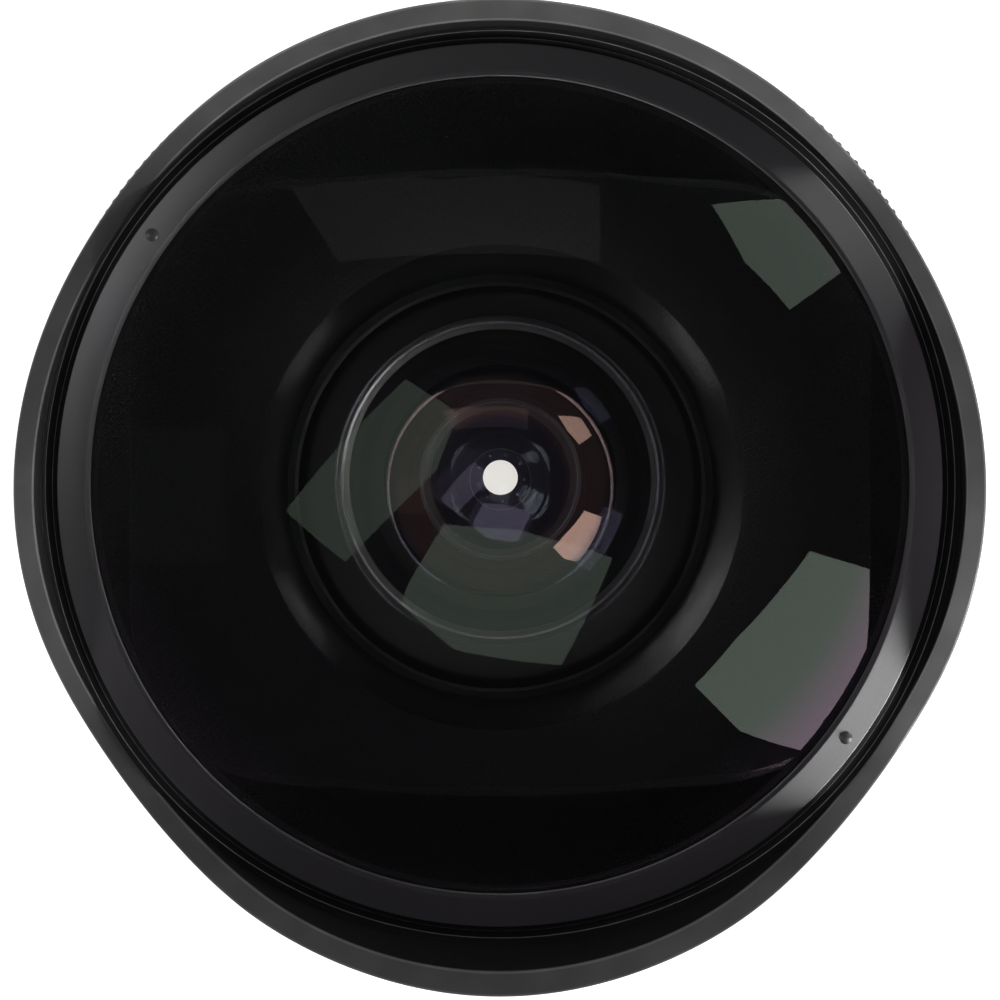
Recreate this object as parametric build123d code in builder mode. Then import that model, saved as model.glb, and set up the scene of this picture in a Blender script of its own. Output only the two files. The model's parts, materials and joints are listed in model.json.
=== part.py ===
from build123d import *
import os
from math import atan2, copysign, cos, degrees, hypot, radians, sin, sqrt

os.makedirs("parts", exist_ok=True)

# A manual fisheye lens with a built-in petal hood, in millimetres.
# +Z is the optical axis, towards the subject. The origin is the centre of the mount
# flange's seating face, so the bayonet hangs below it and the lens stands on its rear ring.
# At rest the lens is focused at infinity and its iris is wide open.

# Driving dimensions: running gaps and fasteners
running_gap = 0.1
ring_gap = 0.3
cut_overrun = 1.0
small_screw_radius = 0.8
tiny_screw_radius = 0.5
screw_head_height = 0.6
small_head_radius = 1.4
tiny_head_radius = 0.95
sunk_head_depth = 0.9

# Driving dimensions: bayonet mount
throat_radius = 21.5
spigot_wall = 4.1
spigot_length = 5.2
lug_height = 1.4
lug_thickness = 1.8
lug_count = 3
lug_angle = 52
mount_land_width = 5.4
mount_plate_thickness = 1.8
mount_screw_inset = 2.1
mount_screw_radius = 1.0
mount_head_radius = 1.9
mount_screw_length = 5.5
mount_screw_count = 4
lock_hole_radius = 1.7
lock_hole_depth = 1.1
throat_chamfer = 0.6

# Driving dimensions: rear barrel and the baffle behind the rear glass
mount_edge_step = 0.5
rear_cone_rise = 1.5
rear_cone_length = 6.2
turning_ring_wall = 3.1
bearing_wall = 2.3
fixed_barrel_wall = 1.6
barrel_thread_depth = 6.5
rear_bore_wall = 1.4
baffle_seat_width = 1.9
baffle_thickness = 1.2
baffle_ledge_step = 0.5
baffle_ledge_depth = 1.5
baffle_window_width = 24.0
baffle_window_height = 18.0
baffle_window_corner = 2.0
index_dot_radius = 1.1
index_dot_proud = 0.15
index_dot_depth = 1.0

# Driving dimensions: aperture ring and its click spring
aperture_ring_width = 11.8
aperture_rib_height = 0.8
aperture_rib_width = 5.2
aperture_rib_count = 60
aperture_rib_angle = 3.4
aperture_turn = 36
click_recess_depth = 1.35
click_recess_width = 2.6
click_notch_radius = 0.5
click_stop_count = 13
click_spring_thickness = 0.35
click_spring_width = 1.8
click_spring_angle = 34
click_nose_radius = 0.65
click_angle = 230

# Driving dimensions: depth-of-field ring between the two turning rings
depth_ring_width = 6.0
depth_cone_rise = 1.2
depth_screw_count = 3

# Driving dimensions: focus ring, rubber grip and cam ring
focus_ring_width = 23.8
focus_band_width = 7.3
focus_band_rise = 0.9
focus_ring_step = 2.1
focus_ring_wall = 3.3
grip_wall = 1.75
grip_rib_height = 0.45
grip_rib_count = 240
grip_crest_share = 0.34
grip_flank_share = 0.14
grip_lip = 0.5
focus_web_thickness = 2.0
focus_web_below_top = 3.1
stop_rib_height = 1.8
stop_rib_width = 1.6
stop_pin_radius = 0.8
stop_pin_depth = 2.5
stop_pin_angle = 200
focus_turn = 90
focus_travel = 1.6
cam_ring_wall = 1.5
cam_flange_thickness = 2.0
cam_screw_inset = 1.1
cam_screw_count = 3
cam_axial_gap = 0.2

# Driving dimensions: the fixed barrel's front flange and the petal hood
barrel_flange_thickness = 1.8
barrel_flange_width = 3.8
petal_wall = 1.54
hood_band_height = 9.6
cap_groove_width = 1.3
cap_groove_depth = 0.6
hood_floor_thickness = 2.0
hood_floor_lap = 3.4
hood_floor_reach = 2.6
hood_mouth_step = 0.3
hood_ledge_width = 0.66
hood_ledge_height = 12.2
hood_ledge_depth = 0.7
short_rim_height = 16.6
petal_height = 9.0
hood_screw_inset = 1.8
hood_screw_count = 6
seal_thickness = 0.45

# The petals' edge, seen along X: shares of the hood radius out from the middle, and
# shares of the petal height above the short rim
petal_edge_shares = [
    (0.0, 0.0),
    (0.342, -0.30),
    (0.574, -0.547),
    (0.70, -0.33),
    (0.766, -0.09),
    (0.866, 0.40),
    (0.94, 0.70),
    (1.0, 1.0),
]
petal_overshoot_share = 1.06

# Driving dimensions: front cell, which holds the two fixed front elements
cell_skirt_height = 6.9
cell_skirt_wall = 2.4
cell_deck_thickness = 2.0
cell_rim_height = 1.4
cell_tube_wall = 1.7
cell_tube_floor = 1.35
cell_tube_lip = 1.9
cell_screw_count = 3
cell_screw_length = 4.5
cell_rim_wall = 0.35
ring_thread_land = 1.25
ring_glass_lap = 1.24
ring_bevel = 0.35
ring_proud = 0.3
gasket_thickness = 0.6
plug_inset = 1.1
plug_radius = 0.5
plug_depth = 0.6
plug_crown = 0.22
plug_angle = 144

# Driving dimensions: front element, a deep meniscus with a ground flat back
front_surface_radius = 50.0
front_thickness = 3.4
bowl_surface_radius = 18.48
bowl_clear_share = 0.902056

# Driving dimensions: second element and its retaining ring
second_cup_depth = 7.4
second_rim_seat = 5.6
second_front_surface = 60.0
second_front_lap = 1.0
second_rear_surface = 16.5
second_rear_clear = 12.6
second_thickness = 1.8
second_ring_thread = 0.5
second_ring_bevel = 0.4

# Driving dimensions: focusing cell, its rollers and its three elements
carrier_wall = 1.7
carrier_length = 9.0
carrier_below_roller = 4.5
web_below_roller = 1.5
web_above_roller = 1.9
roller_below_hood = 12.9
roller_radius = 1.0
roller_bore = 0.5
roller_count = 3
roller_angle = 30
roller_proud = 0.05
web_hole_radius = 3.0
web_hole_inset = 5.2
web_hole_count = 6
third_rim_radius = 12.3
third_front_surface = 28.0
third_front_lap = 0.9
third_rear_surface = 40.0
third_rear_lap = 1.3
third_thickness = 3.6
third_seat_height = 2.5
third_ring_height = 2.9
front_tube_wall = 1.0
doublet_rim_radius = 8.2
doublet_front_surface = 24.0
doublet_lap = 1.0
doublet_cement_surface = -14.0
doublet_rear_surface = 60.0
doublet_front_thickness = 4.6
doublet_rear_thickness = 1.4
doublet_below_web = 0.2
light_stop_radius = 5.0
light_stop_thickness = 0.8
doublet_ring_height = 1.9
rear_tube_wall = 1.2

# Driving dimensions: iris
blade_count = 9
blade_thickness = 0.08
blade_pitch = 0.14
blade_inset = 0.2
blade_width = 4.1
blade_span = 108
blade_heel = 12
blade_turn = 15
pivot_inset = 3.7
pin_radius = 0.4
pin_clearance = 0.06
slot_clearance = 0.08
drive_pin_angle = 20
pivot_boss_radius = 1.25
drive_boss_radius = 1.15
heel_boss_radius = 1.0
iris_angle = 35
stop_radius = 3.3
stake_inset = 1.2
stake_radius = 0.4
stake_height = 0.15
base_plate_thickness = 0.8
iris_ring_thickness = 0.9
iris_ring_width = 5.3
housing_disc_thickness = 2.0
housing_disc_opening = 6.4
housing_above_depth_ring = 1.0
collar_inner = 15.2
collar_wall = 2.2
housing_screw_count = 3
plate_screw_inset = 0.9
plate_screw_count = 3

# Driving dimensions: fork and pin that couple the aperture ring to the iris
fork_angle = 90
fork_pin_radius = 1.0
fork_gap = 0.1
fork_finger_width = 2.0
fork_finger_depth = 1.3
fork_tail = 2.5
pin_height_above_shoulder = 6.0
pin_engagement = 1.2
pin_anchor_depth = 2.6

# Driving dimensions: rear lens tube and its five elements
tube_flange_thickness = 1.6
tube_wall = 3.0
tube_bore_radius = 10.0
tube_lip_width = 2.8
tube_lip_height = 2.3
tube_tail = 0.2
tube_screw_count = 3
rear_lap = 1.4
sixth_front_surface = 30.0
sixth_rear_surface = -20.0
seventh_rear_surface = 60.0
sixth_thickness = 4.6
seventh_thickness = 1.5
front_spacer_width = 1.4
rear_spacer_width = 2.5
eighth_surface = 34.0
eighth_thickness = 3.4
ninth_front_surface = 40.0
ninth_rear_surface = -26.0
tenth_rear_surface = -60.0
ninth_thickness = 3.8
tenth_thickness = 1.3
rear_ring_height = 1.2

# Radii of the body, each from the one that carries it
spigot_radius = throat_radius + spigot_wall
lug_radius = spigot_radius + lug_height
mount_plate_radius = spigot_radius + mount_land_width
mount_screw_circle = mount_plate_radius - mount_screw_inset
baffle_seat_radius = throat_radius + baffle_seat_width
baffle_ledge_radius = throat_radius + baffle_ledge_step
rear_end_radius = mount_plate_radius + mount_edge_step
shoulder_radius = rear_end_radius + rear_cone_rise
aperture_ring_radius = shoulder_radius
depth_ring_rear_radius = shoulder_radius
depth_ring_front_radius = depth_ring_rear_radius + depth_cone_rise
bearing_radius = shoulder_radius - turning_ring_wall
click_recess_radius = bearing_radius + running_gap + click_recess_depth
fixed_barrel_outer = bearing_radius - bearing_wall
fixed_barrel_inner = fixed_barrel_outer - fixed_barrel_wall
rear_bore_radius = fixed_barrel_outer - rear_bore_wall
cam_inner = fixed_barrel_outer + running_gap
cam_outer = cam_inner + cam_ring_wall
focus_ring_inner = bearing_radius + focus_ring_step
stop_rib_inner = focus_ring_inner - stop_rib_height
cam_flange_radius = focus_ring_inner - ring_gap
cam_screw_circle = cam_flange_radius - cam_screw_inset
grip_seat_radius = focus_ring_inner + focus_ring_wall
focus_band_radius = grip_seat_radius + focus_band_rise
grip_valley_radius = grip_seat_radius + grip_wall
grip_crest_radius = grip_valley_radius + grip_rib_height
barrel_flange_radius = fixed_barrel_outer + barrel_flange_width
hood_floor_radius = barrel_flange_radius - hood_floor_lap
hood_screw_circle = barrel_flange_radius - hood_screw_inset
hood_bore_radius = barrel_flange_radius + hood_floor_reach
hood_ledge_radius = hood_bore_radius + hood_ledge_width
hood_mouth_radius = hood_ledge_radius + hood_mouth_step
hood_radius = hood_mouth_radius + petal_wall
cap_groove_radius = hood_radius - cap_groove_depth

# Radii of the glass and its seats
ring_thread_radius = hood_bore_radius - cell_rim_wall
front_rim_radius = ring_thread_radius - ring_thread_land
ring_visible_radius = front_rim_radius - ring_glass_lap
plug_circle = ring_thread_radius - plug_inset
bowl_clear_radius = bowl_clear_share * bowl_surface_radius
second_rim_radius = second_rear_clear + second_rim_seat
second_front_clear = second_rim_radius - second_front_lap
second_ring_radius = second_rim_radius + second_ring_thread
cell_tube_radius = second_ring_radius + cell_tube_wall
cell_tube_opening = second_rear_clear + cell_tube_lip
third_front_clear = third_rim_radius - third_front_lap
third_rear_clear = third_rim_radius - third_rear_lap
doublet_clear_radius = doublet_rim_radius - doublet_lap
tube_outer_radius = tube_bore_radius + tube_wall
tube_lip_radius = tube_bore_radius - tube_lip_width
rear_clear_radius = tube_bore_radius - rear_lap

# Radii of the iris
blade_inner_radius = stop_radius + blade_inset
blade_outer_radius = blade_inner_radius + blade_width
stake_circle = stop_radius + stake_inset
pivot_circle = collar_inner - pivot_inset
collar_outer = collar_inner + collar_wall
iris_ring_outer = collar_inner - ring_gap
iris_ring_inner = iris_ring_outer - iris_ring_width
plate_screw_circle = collar_inner - plate_screw_inset
fork_inner = iris_ring_outer - fork_finger_depth

# Stations along the axis, each from the one that carries it
shoulder_z = mount_plate_thickness + rear_cone_length
aperture_rear_z = shoulder_z + running_gap
aperture_front_z = aperture_rear_z + aperture_ring_width
depth_rear_z = aperture_front_z + running_gap
depth_front_z = depth_rear_z + depth_ring_width
focus_rear_z = depth_front_z + ring_gap
focus_front_z = focus_rear_z + focus_ring_width
hood_z = focus_front_z + ring_gap
cell_seat_z = hood_z + hood_floor_thickness
deck_z = cell_seat_z + cell_skirt_height
barrel_flange_z = hood_z - barrel_flange_thickness
web_front_z = focus_front_z - focus_web_below_top
web_rear_z = web_front_z - focus_web_thickness
cam_rear_z = depth_front_z + cam_axial_gap
cam_front_z = barrel_flange_z - cam_axial_gap
roller_z = hood_z - roller_below_hood
short_rim_z = hood_z + short_rim_height
petal_tip_z = short_rim_z + petal_height


def sag(surface_radius, height):
    """How far a lens surface falls back from its vertex at this height off the axis."""
    return surface_radius - copysign(sqrt(surface_radius**2 - height**2), surface_radius)


def outline(points):
    """Half section through the axis, from points given as radius and height."""
    with BuildSketch(Plane.XZ) as section:
        with BuildLine():
            Polyline(*points, close=True)
        make_face()
    return section.sketch


def tube(inner, outer, bottom, top):
    """Half section of a plain ring."""
    return outline([(inner, bottom), (outer, bottom), (outer, top), (inner, top)])


def lens(front, rear, rim):
    """Half section of a lens element with flat seats outside its clear surfaces.

    front and rear are the vertex height, surface radius and clear radius of each side.
    A surface radius is positive where its centre lies behind the surface.
    """
    front_vertex, front_surface, front_clear = front
    rear_vertex, rear_surface, rear_clear = rear
    front_edge = front_vertex - sag(front_surface, front_clear)
    rear_edge = rear_vertex - sag(rear_surface, rear_clear)
    corners = [(front_clear, front_edge), (rim, front_edge), (rim, rear_edge), (rear_clear, rear_edge)]
    corners = [point for n, point in enumerate(corners) if n == 0 or point != corners[n - 1]]
    with BuildSketch(Plane.XZ) as section:
        with BuildLine():
            ThreePointArc(
                (0, front_vertex),
                (front_clear / 2, front_vertex - sag(front_surface, front_clear / 2)),
                (front_clear, front_edge),
            )
            Polyline(*corners)
            ThreePointArc(
                (rear_clear, rear_edge),
                (rear_clear / 2, rear_vertex - sag(rear_surface, rear_clear / 2)),
                (0, rear_vertex),
            )
            Line((0, rear_vertex), (0, front_vertex))
        make_face()
    return section.sketch


def at(radius, angle):
    """Point on a circle about the axis."""
    return (radius * cos(radians(angle)), radius * sin(radians(angle)))


def radial_plane(angle, height):
    """Plane whose normal points outward from the axis, with its local x along +Z."""
    return Plane(origin=(0, 0, height), x_dir=(0, 0, 1), z_dir=(*at(1, angle), 0))


def radial_rod(angle, height, inner, outer, radius):
    """Round rod that points outward from the axis."""
    with BuildPart() as rod:
        with BuildSketch(radial_plane(angle, height).offset(inner)):
            Circle(radius)
        extrude(amount=outer - inner)
    return rod.part


def sunk_screw(radius, head_radius, length):
    """Countersunk screw with its head's face at zero and its shank towards +Z."""
    with BuildSketch(Plane.XZ) as section:
        with BuildLine():
            Polyline(
                (0, 0),
                (head_radius, 0),
                (radius, sunk_head_depth),
                (radius, length),
                (0, length),
                close=True,
            )
        make_face()
    return revolve(section.sketch, axis=Axis.Z, mode=Mode.PRIVATE)


def arc_sector(inner, outer, start, span):
    """Flat ring sector about the axis, from the start angle on."""
    with BuildSketch() as sector:
        Circle(outer)
        Circle(inner, mode=Mode.SUBTRACT)
        with BuildLine():
            reach = 2 * outer
            Polyline(
                (0, 0),
                at(reach, start),
                at(reach, start + span / 2),
                at(reach, start + span),
                close=True,
            )
        make_face(mode=Mode.INTERSECT)
    return sector.sketch


def finish(builder, name):
    """Label a finished piece and write it out."""
    builder.part.label = name
    export_step(builder.part, f"parts/{name}.step")


# Bayonet mount: plate, spigot and three lugs that turn behind the camera's flange
with BuildPart() as bayonet_mount:
    revolve(
        outline(
            [
                (throat_radius, mount_plate_thickness),
                (mount_plate_radius, mount_plate_thickness),
                (mount_plate_radius, 0),
                (spigot_radius, 0),
                (spigot_radius, -spigot_length),
                (throat_radius + throat_chamfer, -spigot_length),
                (throat_radius, throat_chamfer - spigot_length),
            ]
        ),
        axis=Axis.Z,
    )
    for lug in range(lug_count):
        lug_start = lug * 360 / lug_count - lug_angle / 2
        with BuildSketch(Plane.XY.offset(-spigot_length)):
            add(arc_sector(spigot_radius - throat_chamfer, lug_radius, lug_start, lug_angle))
        extrude(amount=lug_thickness)
    mount_screw_places = PolarLocations(mount_screw_circle, mount_screw_count, start_angle=45)
    with mount_screw_places:
        add(sunk_screw(mount_screw_radius, mount_head_radius, mount_screw_length), mode=Mode.SUBTRACT)
    with BuildSketch():
        with Locations(at(mount_screw_circle, 0)):
            Circle(lock_hole_radius)
    extrude(amount=lock_hole_depth, mode=Mode.SUBTRACT)
finish(bayonet_mount, "bayonet_mount")

with BuildPart() as mount_screws:
    with PolarLocations(mount_screw_circle, mount_screw_count, start_angle=45):
        add(sunk_screw(mount_screw_radius, mount_head_radius, mount_screw_length))
finish(mount_screws, "mount_screws")

# Rear barrel: the fixed body that carries the mount, both turning rings and the inner barrel
baffle_front_z = mount_plate_thickness + baffle_thickness
barrel_joint_z = depth_front_z - barrel_thread_depth
drive_pin_z = shoulder_z + pin_height_above_shoulder
pin_slot_margin = degrees((fork_pin_radius + fork_gap) / rear_bore_radius)
index_dot_z = mount_plate_thickness + rear_cone_length / 2
index_dot_wall = (rear_end_radius + shoulder_radius) / 2
with BuildPart() as rear_barrel:
    revolve(
        outline(
            [
                (baffle_seat_radius, mount_plate_thickness),
                (rear_end_radius, mount_plate_thickness),
                (shoulder_radius, shoulder_z),
                (bearing_radius, shoulder_z),
                (bearing_radius, depth_front_z),
                (fixed_barrel_outer, depth_front_z),
                (fixed_barrel_outer, barrel_joint_z),
                (rear_bore_radius, barrel_joint_z),
                (rear_bore_radius, baffle_front_z + baffle_ledge_depth),
                (baffle_ledge_radius, baffle_front_z + baffle_ledge_depth),
                (baffle_ledge_radius, baffle_front_z),
                (baffle_seat_radius, baffle_front_z),
            ]
        ),
        axis=Axis.Z,
    )
    with PolarLocations(mount_screw_circle, mount_screw_count, start_angle=45):
        add(sunk_screw(mount_screw_radius, mount_head_radius, mount_screw_length), mode=Mode.SUBTRACT)
    pin_window = arc_sector(
        rear_bore_radius - cut_overrun,
        bearing_radius + cut_overrun,
        fork_angle - pin_slot_margin,
        aperture_turn + 2 * pin_slot_margin,
    )
    with BuildSketch(Plane.XY.offset(drive_pin_z - fork_pin_radius - fork_gap)):
        add(pin_window)
    extrude(amount=2 * (fork_pin_radius + fork_gap), mode=Mode.SUBTRACT)
    add(
        radial_rod(
            0,
            index_dot_z,
            index_dot_wall - index_dot_depth,
            shoulder_radius + cut_overrun,
            index_dot_radius,
        ),
        mode=Mode.SUBTRACT,
    )
    click_screw_angle = click_angle - click_spring_angle
    click_spring_mid_z = aperture_rear_z + click_recess_width / 2
    add(
        radial_rod(
            click_screw_angle,
            click_spring_mid_z,
            bearing_radius - small_head_radius,
            bearing_radius + cut_overrun,
            tiny_screw_radius,
        ),
        mode=Mode.SUBTRACT,
    )
finish(rear_barrel, "rear_barrel")

with BuildPart() as index_dot:
    add(
        radial_rod(
            0,
            index_dot_z,
            index_dot_wall - index_dot_depth,
            index_dot_wall + index_dot_proud,
            index_dot_radius,
        )
    )
finish(index_dot, "index_dot")

with BuildPart() as rear_light_baffle:
    with BuildSketch(Plane.XY.offset(mount_plate_thickness)):
        Circle(baffle_seat_radius)
        RectangleRounded(
            baffle_window_width, baffle_window_height, baffle_window_corner, mode=Mode.SUBTRACT
        )
    extrude(amount=baffle_thickness)
finish(rear_light_baffle, "rear_light_baffle")

# Aperture ring: ribbed, clicks at half stops and carries the pin that drives the iris
click_notch_step = aperture_turn / (click_stop_count - 1)
with BuildPart() as aperture_ring:
    bearing = bearing_radius + running_gap
    revolve(
        outline(
            [
                (click_recess_radius, aperture_rear_z),
                (aperture_ring_radius, aperture_rear_z),
                (aperture_ring_radius, aperture_front_z),
                (bearing, aperture_front_z),
                (bearing, aperture_rear_z + click_recess_width),
                (click_recess_radius, aperture_rear_z + click_recess_width),
            ]
        ),
        axis=Axis.Z,
    )
    rib_z = aperture_rear_z + running_gap + ring_gap
    rib_crest = aperture_ring_radius + aperture_rib_height
    for rib in range(aperture_rib_count):
        rib_start = rib * 360 / aperture_rib_count
        with BuildSketch(Plane.XY.offset(rib_z)):
            add(arc_sector(aperture_ring_radius - ring_gap, rib_crest, rib_start, aperture_rib_angle))
        extrude(amount=aperture_rib_width)
    notch_cuts = [
        at(click_recess_radius, click_angle - stop * click_notch_step)
        for stop in range(click_stop_count)
    ]
    with BuildSketch(Plane.XY.offset(aperture_rear_z)):
        with Locations(*notch_cuts):
            Circle(click_notch_radius)
    extrude(amount=click_recess_width, mode=Mode.SUBTRACT)
    pin_outer = bearing + pin_anchor_depth
    add(
        radial_rod(fork_angle, drive_pin_z, bearing - cut_overrun, pin_outer, fork_pin_radius),
        mode=Mode.SUBTRACT,
    )
finish(aperture_ring, "aperture_ring")

fork_outer = iris_ring_outer
with BuildPart() as aperture_drive_pin:
    add(
        radial_rod(fork_angle, drive_pin_z, fork_outer - pin_engagement, pin_outer, fork_pin_radius)
    )
finish(aperture_drive_pin, "aperture_drive_pin")

with BuildPart() as click_spring:
    spring_z = click_spring_mid_z - click_spring_width / 2
    spring_outer = bearing_radius + click_spring_thickness
    spring_heel = degrees(tiny_head_radius / bearing_radius)
    with BuildSketch(Plane.XY.offset(spring_z)):
        add(
            arc_sector(
                bearing_radius,
                spring_outer,
                click_screw_angle - spring_heel,
                click_spring_angle + 2 * spring_heel,
            )
        )
        nose_radius_out = click_recess_radius - running_gap - click_nose_radius
        with Locations(at(nose_radius_out, click_angle)):
            Circle(click_nose_radius)
        Circle(bearing_radius, mode=Mode.SUBTRACT)
    extrude(amount=click_spring_width)
    add(
        radial_rod(
            click_screw_angle,
            click_spring_mid_z,
            bearing_radius - cut_overrun,
            spring_outer + cut_overrun,
            tiny_screw_radius,
        ),
        mode=Mode.SUBTRACT,
    )
finish(click_spring, "click_spring")

with BuildPart() as click_spring_screw:
    click_head = click_recess_radius - running_gap
    add(
        radial_rod(
            click_screw_angle,
            click_spring_mid_z,
            bearing_radius - small_head_radius,
            spring_outer,
            tiny_screw_radius,
        )
    )
    add(
        radial_rod(
            click_screw_angle,
            click_spring_mid_z,
            spring_outer,
            spring_outer + (click_head - spring_outer) / 2,
            click_spring_width / 2,
        )
    )
finish(click_spring_screw, "click_spring_screw")

# Depth-of-field ring: fixed between the aperture ring and the focus ring
depth_screw_z = (depth_rear_z + depth_front_z) / 2
depth_screw_outer = (depth_ring_rear_radius + depth_ring_front_radius) / 2 - ring_gap
with BuildPart() as depth_scale_ring:
    revolve(
        outline(
            [
                (bearing_radius, depth_rear_z),
                (depth_ring_rear_radius, depth_rear_z),
                (depth_ring_front_radius, depth_front_z),
                (bearing_radius, depth_front_z),
            ]
        ),
        axis=Axis.Z,
    )
    for screw in range(depth_screw_count):
        add(
            radial_rod(
                (screw + 0.5) * 360 / depth_screw_count,
                depth_screw_z,
                bearing_radius - cut_overrun,
                depth_ring_front_radius + cut_overrun,
                small_screw_radius,
            ),
            mode=Mode.SUBTRACT,
        )
    with BuildSketch(Plane.XY.offset(depth_front_z)):
        with Locations(at((stop_rib_inner + focus_ring_inner) / 2, stop_pin_angle)):
            Circle(stop_pin_radius)
    extrude(amount=-stop_pin_depth, mode=Mode.SUBTRACT)
finish(depth_scale_ring, "depth_scale_ring")

with BuildPart() as depth_ring_screws:
    for screw in range(depth_screw_count):
        add(
            radial_rod(
                (screw + 0.5) * 360 / depth_screw_count,
                depth_screw_z,
                bearing_radius,
                depth_screw_outer,
                small_screw_radius,
            )
        )
finish(depth_ring_screws, "depth_ring_screws")

with BuildPart() as focus_stop_pin:
    with BuildSketch(Plane.XY.offset(depth_front_z - stop_pin_depth)):
        with Locations(at((stop_rib_inner + focus_ring_inner) / 2, stop_pin_angle)):
            Circle(stop_pin_radius)
    extrude(amount=stop_pin_depth + 2 * ring_gap + stop_rib_width / 2)
finish(focus_stop_pin, "focus_stop_pin")

# Fixed barrel: straight slots guide the focusing cell's rollers, its flange carries the hood
straight_slot_width = 2 * (roller_radius + running_gap)
straight_slot_length = focus_travel + straight_slot_width
housing_z = depth_front_z + housing_above_depth_ring
housing_screw_z = housing_z + housing_disc_thickness / 2
with BuildPart() as fixed_barrel:
    revolve(
        outline(
            [
                (fixed_barrel_inner, barrel_joint_z),
                (fixed_barrel_outer, barrel_joint_z),
                (fixed_barrel_outer, barrel_flange_z),
                (barrel_flange_radius, barrel_flange_z),
                (barrel_flange_radius, hood_z),
                (fixed_barrel_inner, hood_z),
            ]
        ),
        axis=Axis.Z,
    )
    for roller in range(roller_count):
        slot_plane = radial_plane(
            roller_angle + roller * 360 / roller_count, roller_z + focus_travel / 2
        )
        with BuildSketch(slot_plane.offset(fixed_barrel_inner - cut_overrun)):
            SlotOverall(straight_slot_length, straight_slot_width)
        extrude(amount=fixed_barrel_outer - fixed_barrel_inner + 2 * cut_overrun, mode=Mode.SUBTRACT)
    for screw in range(housing_screw_count):
        add(
            radial_rod(
                screw * 360 / housing_screw_count,
                housing_screw_z,
                fixed_barrel_inner - cut_overrun,
                fixed_barrel_outer + cut_overrun,
                small_screw_radius,
            ),
            mode=Mode.SUBTRACT,
        )
    with BuildSketch(Plane.XY.offset(hood_z)):
        with PolarLocations(hood_screw_circle, hood_screw_count):
            Circle(small_screw_radius)
    extrude(amount=-barrel_flange_thickness, mode=Mode.SUBTRACT)
finish(fixed_barrel, "fixed_barrel")

# Cam ring: three left-hand helical slots push the rollers forward as the ring turns
with BuildPart() as cam_slot:
    cam_mid = (cam_inner + cam_outer) / 2
    with BuildLine():
        Helix(
            pitch=focus_travel * 360 / focus_turn,
            height=focus_travel,
            radius=cam_mid,
            center=(0, 0, roller_z),
            lefthand=True,
        )
    with BuildSketch(Plane(origin=(cam_mid, 0, roller_z), x_dir=(1, 0, 0), z_dir=(0, -1, 0))):
        Rectangle(cam_ring_wall + 2 * cut_overrun, straight_slot_width)
    sweep(is_frenet=True)
    for end_angle, end_z in ((0, roller_z), (-focus_turn, roller_z + focus_travel)):
        add(
            radial_rod(
                end_angle,
                end_z,
                cam_inner - cut_overrun,
                cam_outer + cut_overrun,
                straight_slot_width / 2,
            )
        )

with BuildPart() as cam_ring:
    revolve(
        outline(
            [
                (cam_inner, cam_rear_z),
                (cam_outer, cam_rear_z),
                (cam_outer, web_rear_z - cam_flange_thickness),
                (cam_flange_radius, web_rear_z - cam_flange_thickness),
                (cam_flange_radius, web_rear_z),
                (cam_outer, web_rear_z),
                (cam_outer, cam_front_z),
                (cam_inner, cam_front_z),
            ]
        ),
        axis=Axis.Z,
    )
    with PolarLocations(0, roller_count, start_angle=roller_angle):
        add(cam_slot.part, mode=Mode.SUBTRACT)
    with BuildSketch(Plane.XY.offset(web_rear_z)):
        with PolarLocations(cam_screw_circle, cam_screw_count):
            Circle(tiny_screw_radius)
    extrude(amount=-cam_flange_thickness, mode=Mode.SUBTRACT)
finish(cam_ring, "cam_ring")

with BuildPart() as cam_ring_screws:
    cam_screw_z = web_rear_z - cam_flange_thickness
    with BuildSketch(Plane.XY.offset(cam_screw_z)):
        with PolarLocations(cam_screw_circle, cam_screw_count):
            Circle(tiny_screw_radius)
    extrude(amount=cam_flange_thickness + focus_web_thickness / 2)
    with BuildSketch(Plane.XY.offset(cam_screw_z)):
        with PolarLocations(cam_screw_circle, cam_screw_count):
            Circle(tiny_head_radius)
    extrude(amount=-screw_head_height)
finish(cam_ring_screws, "cam_ring_screws")

# Focus ring: scale band, seat for the rubber grip, web to the cam ring and a stop rib
grip_rear_z = focus_rear_z + focus_band_width + grip_lip
grip_front_z = focus_front_z - grip_lip
grip_land = (grip_seat_radius + focus_band_radius) / 2
stop_rib_z = focus_rear_z + ring_gap
stop_circle = (stop_rib_inner + focus_ring_inner) / 2
stop_margin = degrees((stop_pin_radius + running_gap) / stop_circle)
with BuildPart() as focus_ring:
    revolve(
        outline(
            [
                (focus_ring_inner, focus_rear_z),
                (focus_band_radius - ring_gap, focus_rear_z),
                (focus_band_radius, focus_rear_z + ring_gap),
                (focus_band_radius, grip_rear_z - grip_lip),
                (grip_seat_radius, grip_rear_z - grip_lip),
                (grip_seat_radius, grip_front_z),
                (grip_land, grip_front_z),
                (grip_land, focus_front_z),
                (focus_ring_inner, focus_front_z),
                (focus_ring_inner, web_front_z),
                (cam_outer + running_gap, web_front_z),
                (cam_outer + running_gap, web_rear_z),
                (focus_ring_inner, web_rear_z),
            ]
        ),
        axis=Axis.Z,
    )
    with BuildSketch(Plane.XY.offset(stop_rib_z)):
        add(
            arc_sector(
                stop_rib_inner,
                focus_ring_inner + ring_gap,
                stop_pin_angle + stop_margin,
                360 - focus_turn - 2 * stop_margin,
            )
        )
    extrude(amount=stop_rib_width)
    with BuildSketch(Plane.XY.offset(web_rear_z)):
        with PolarLocations(cam_screw_circle, cam_screw_count):
            Circle(tiny_screw_radius)
    extrude(amount=focus_web_thickness / 2, mode=Mode.SUBTRACT)
finish(focus_ring, "focus_ring")

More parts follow.
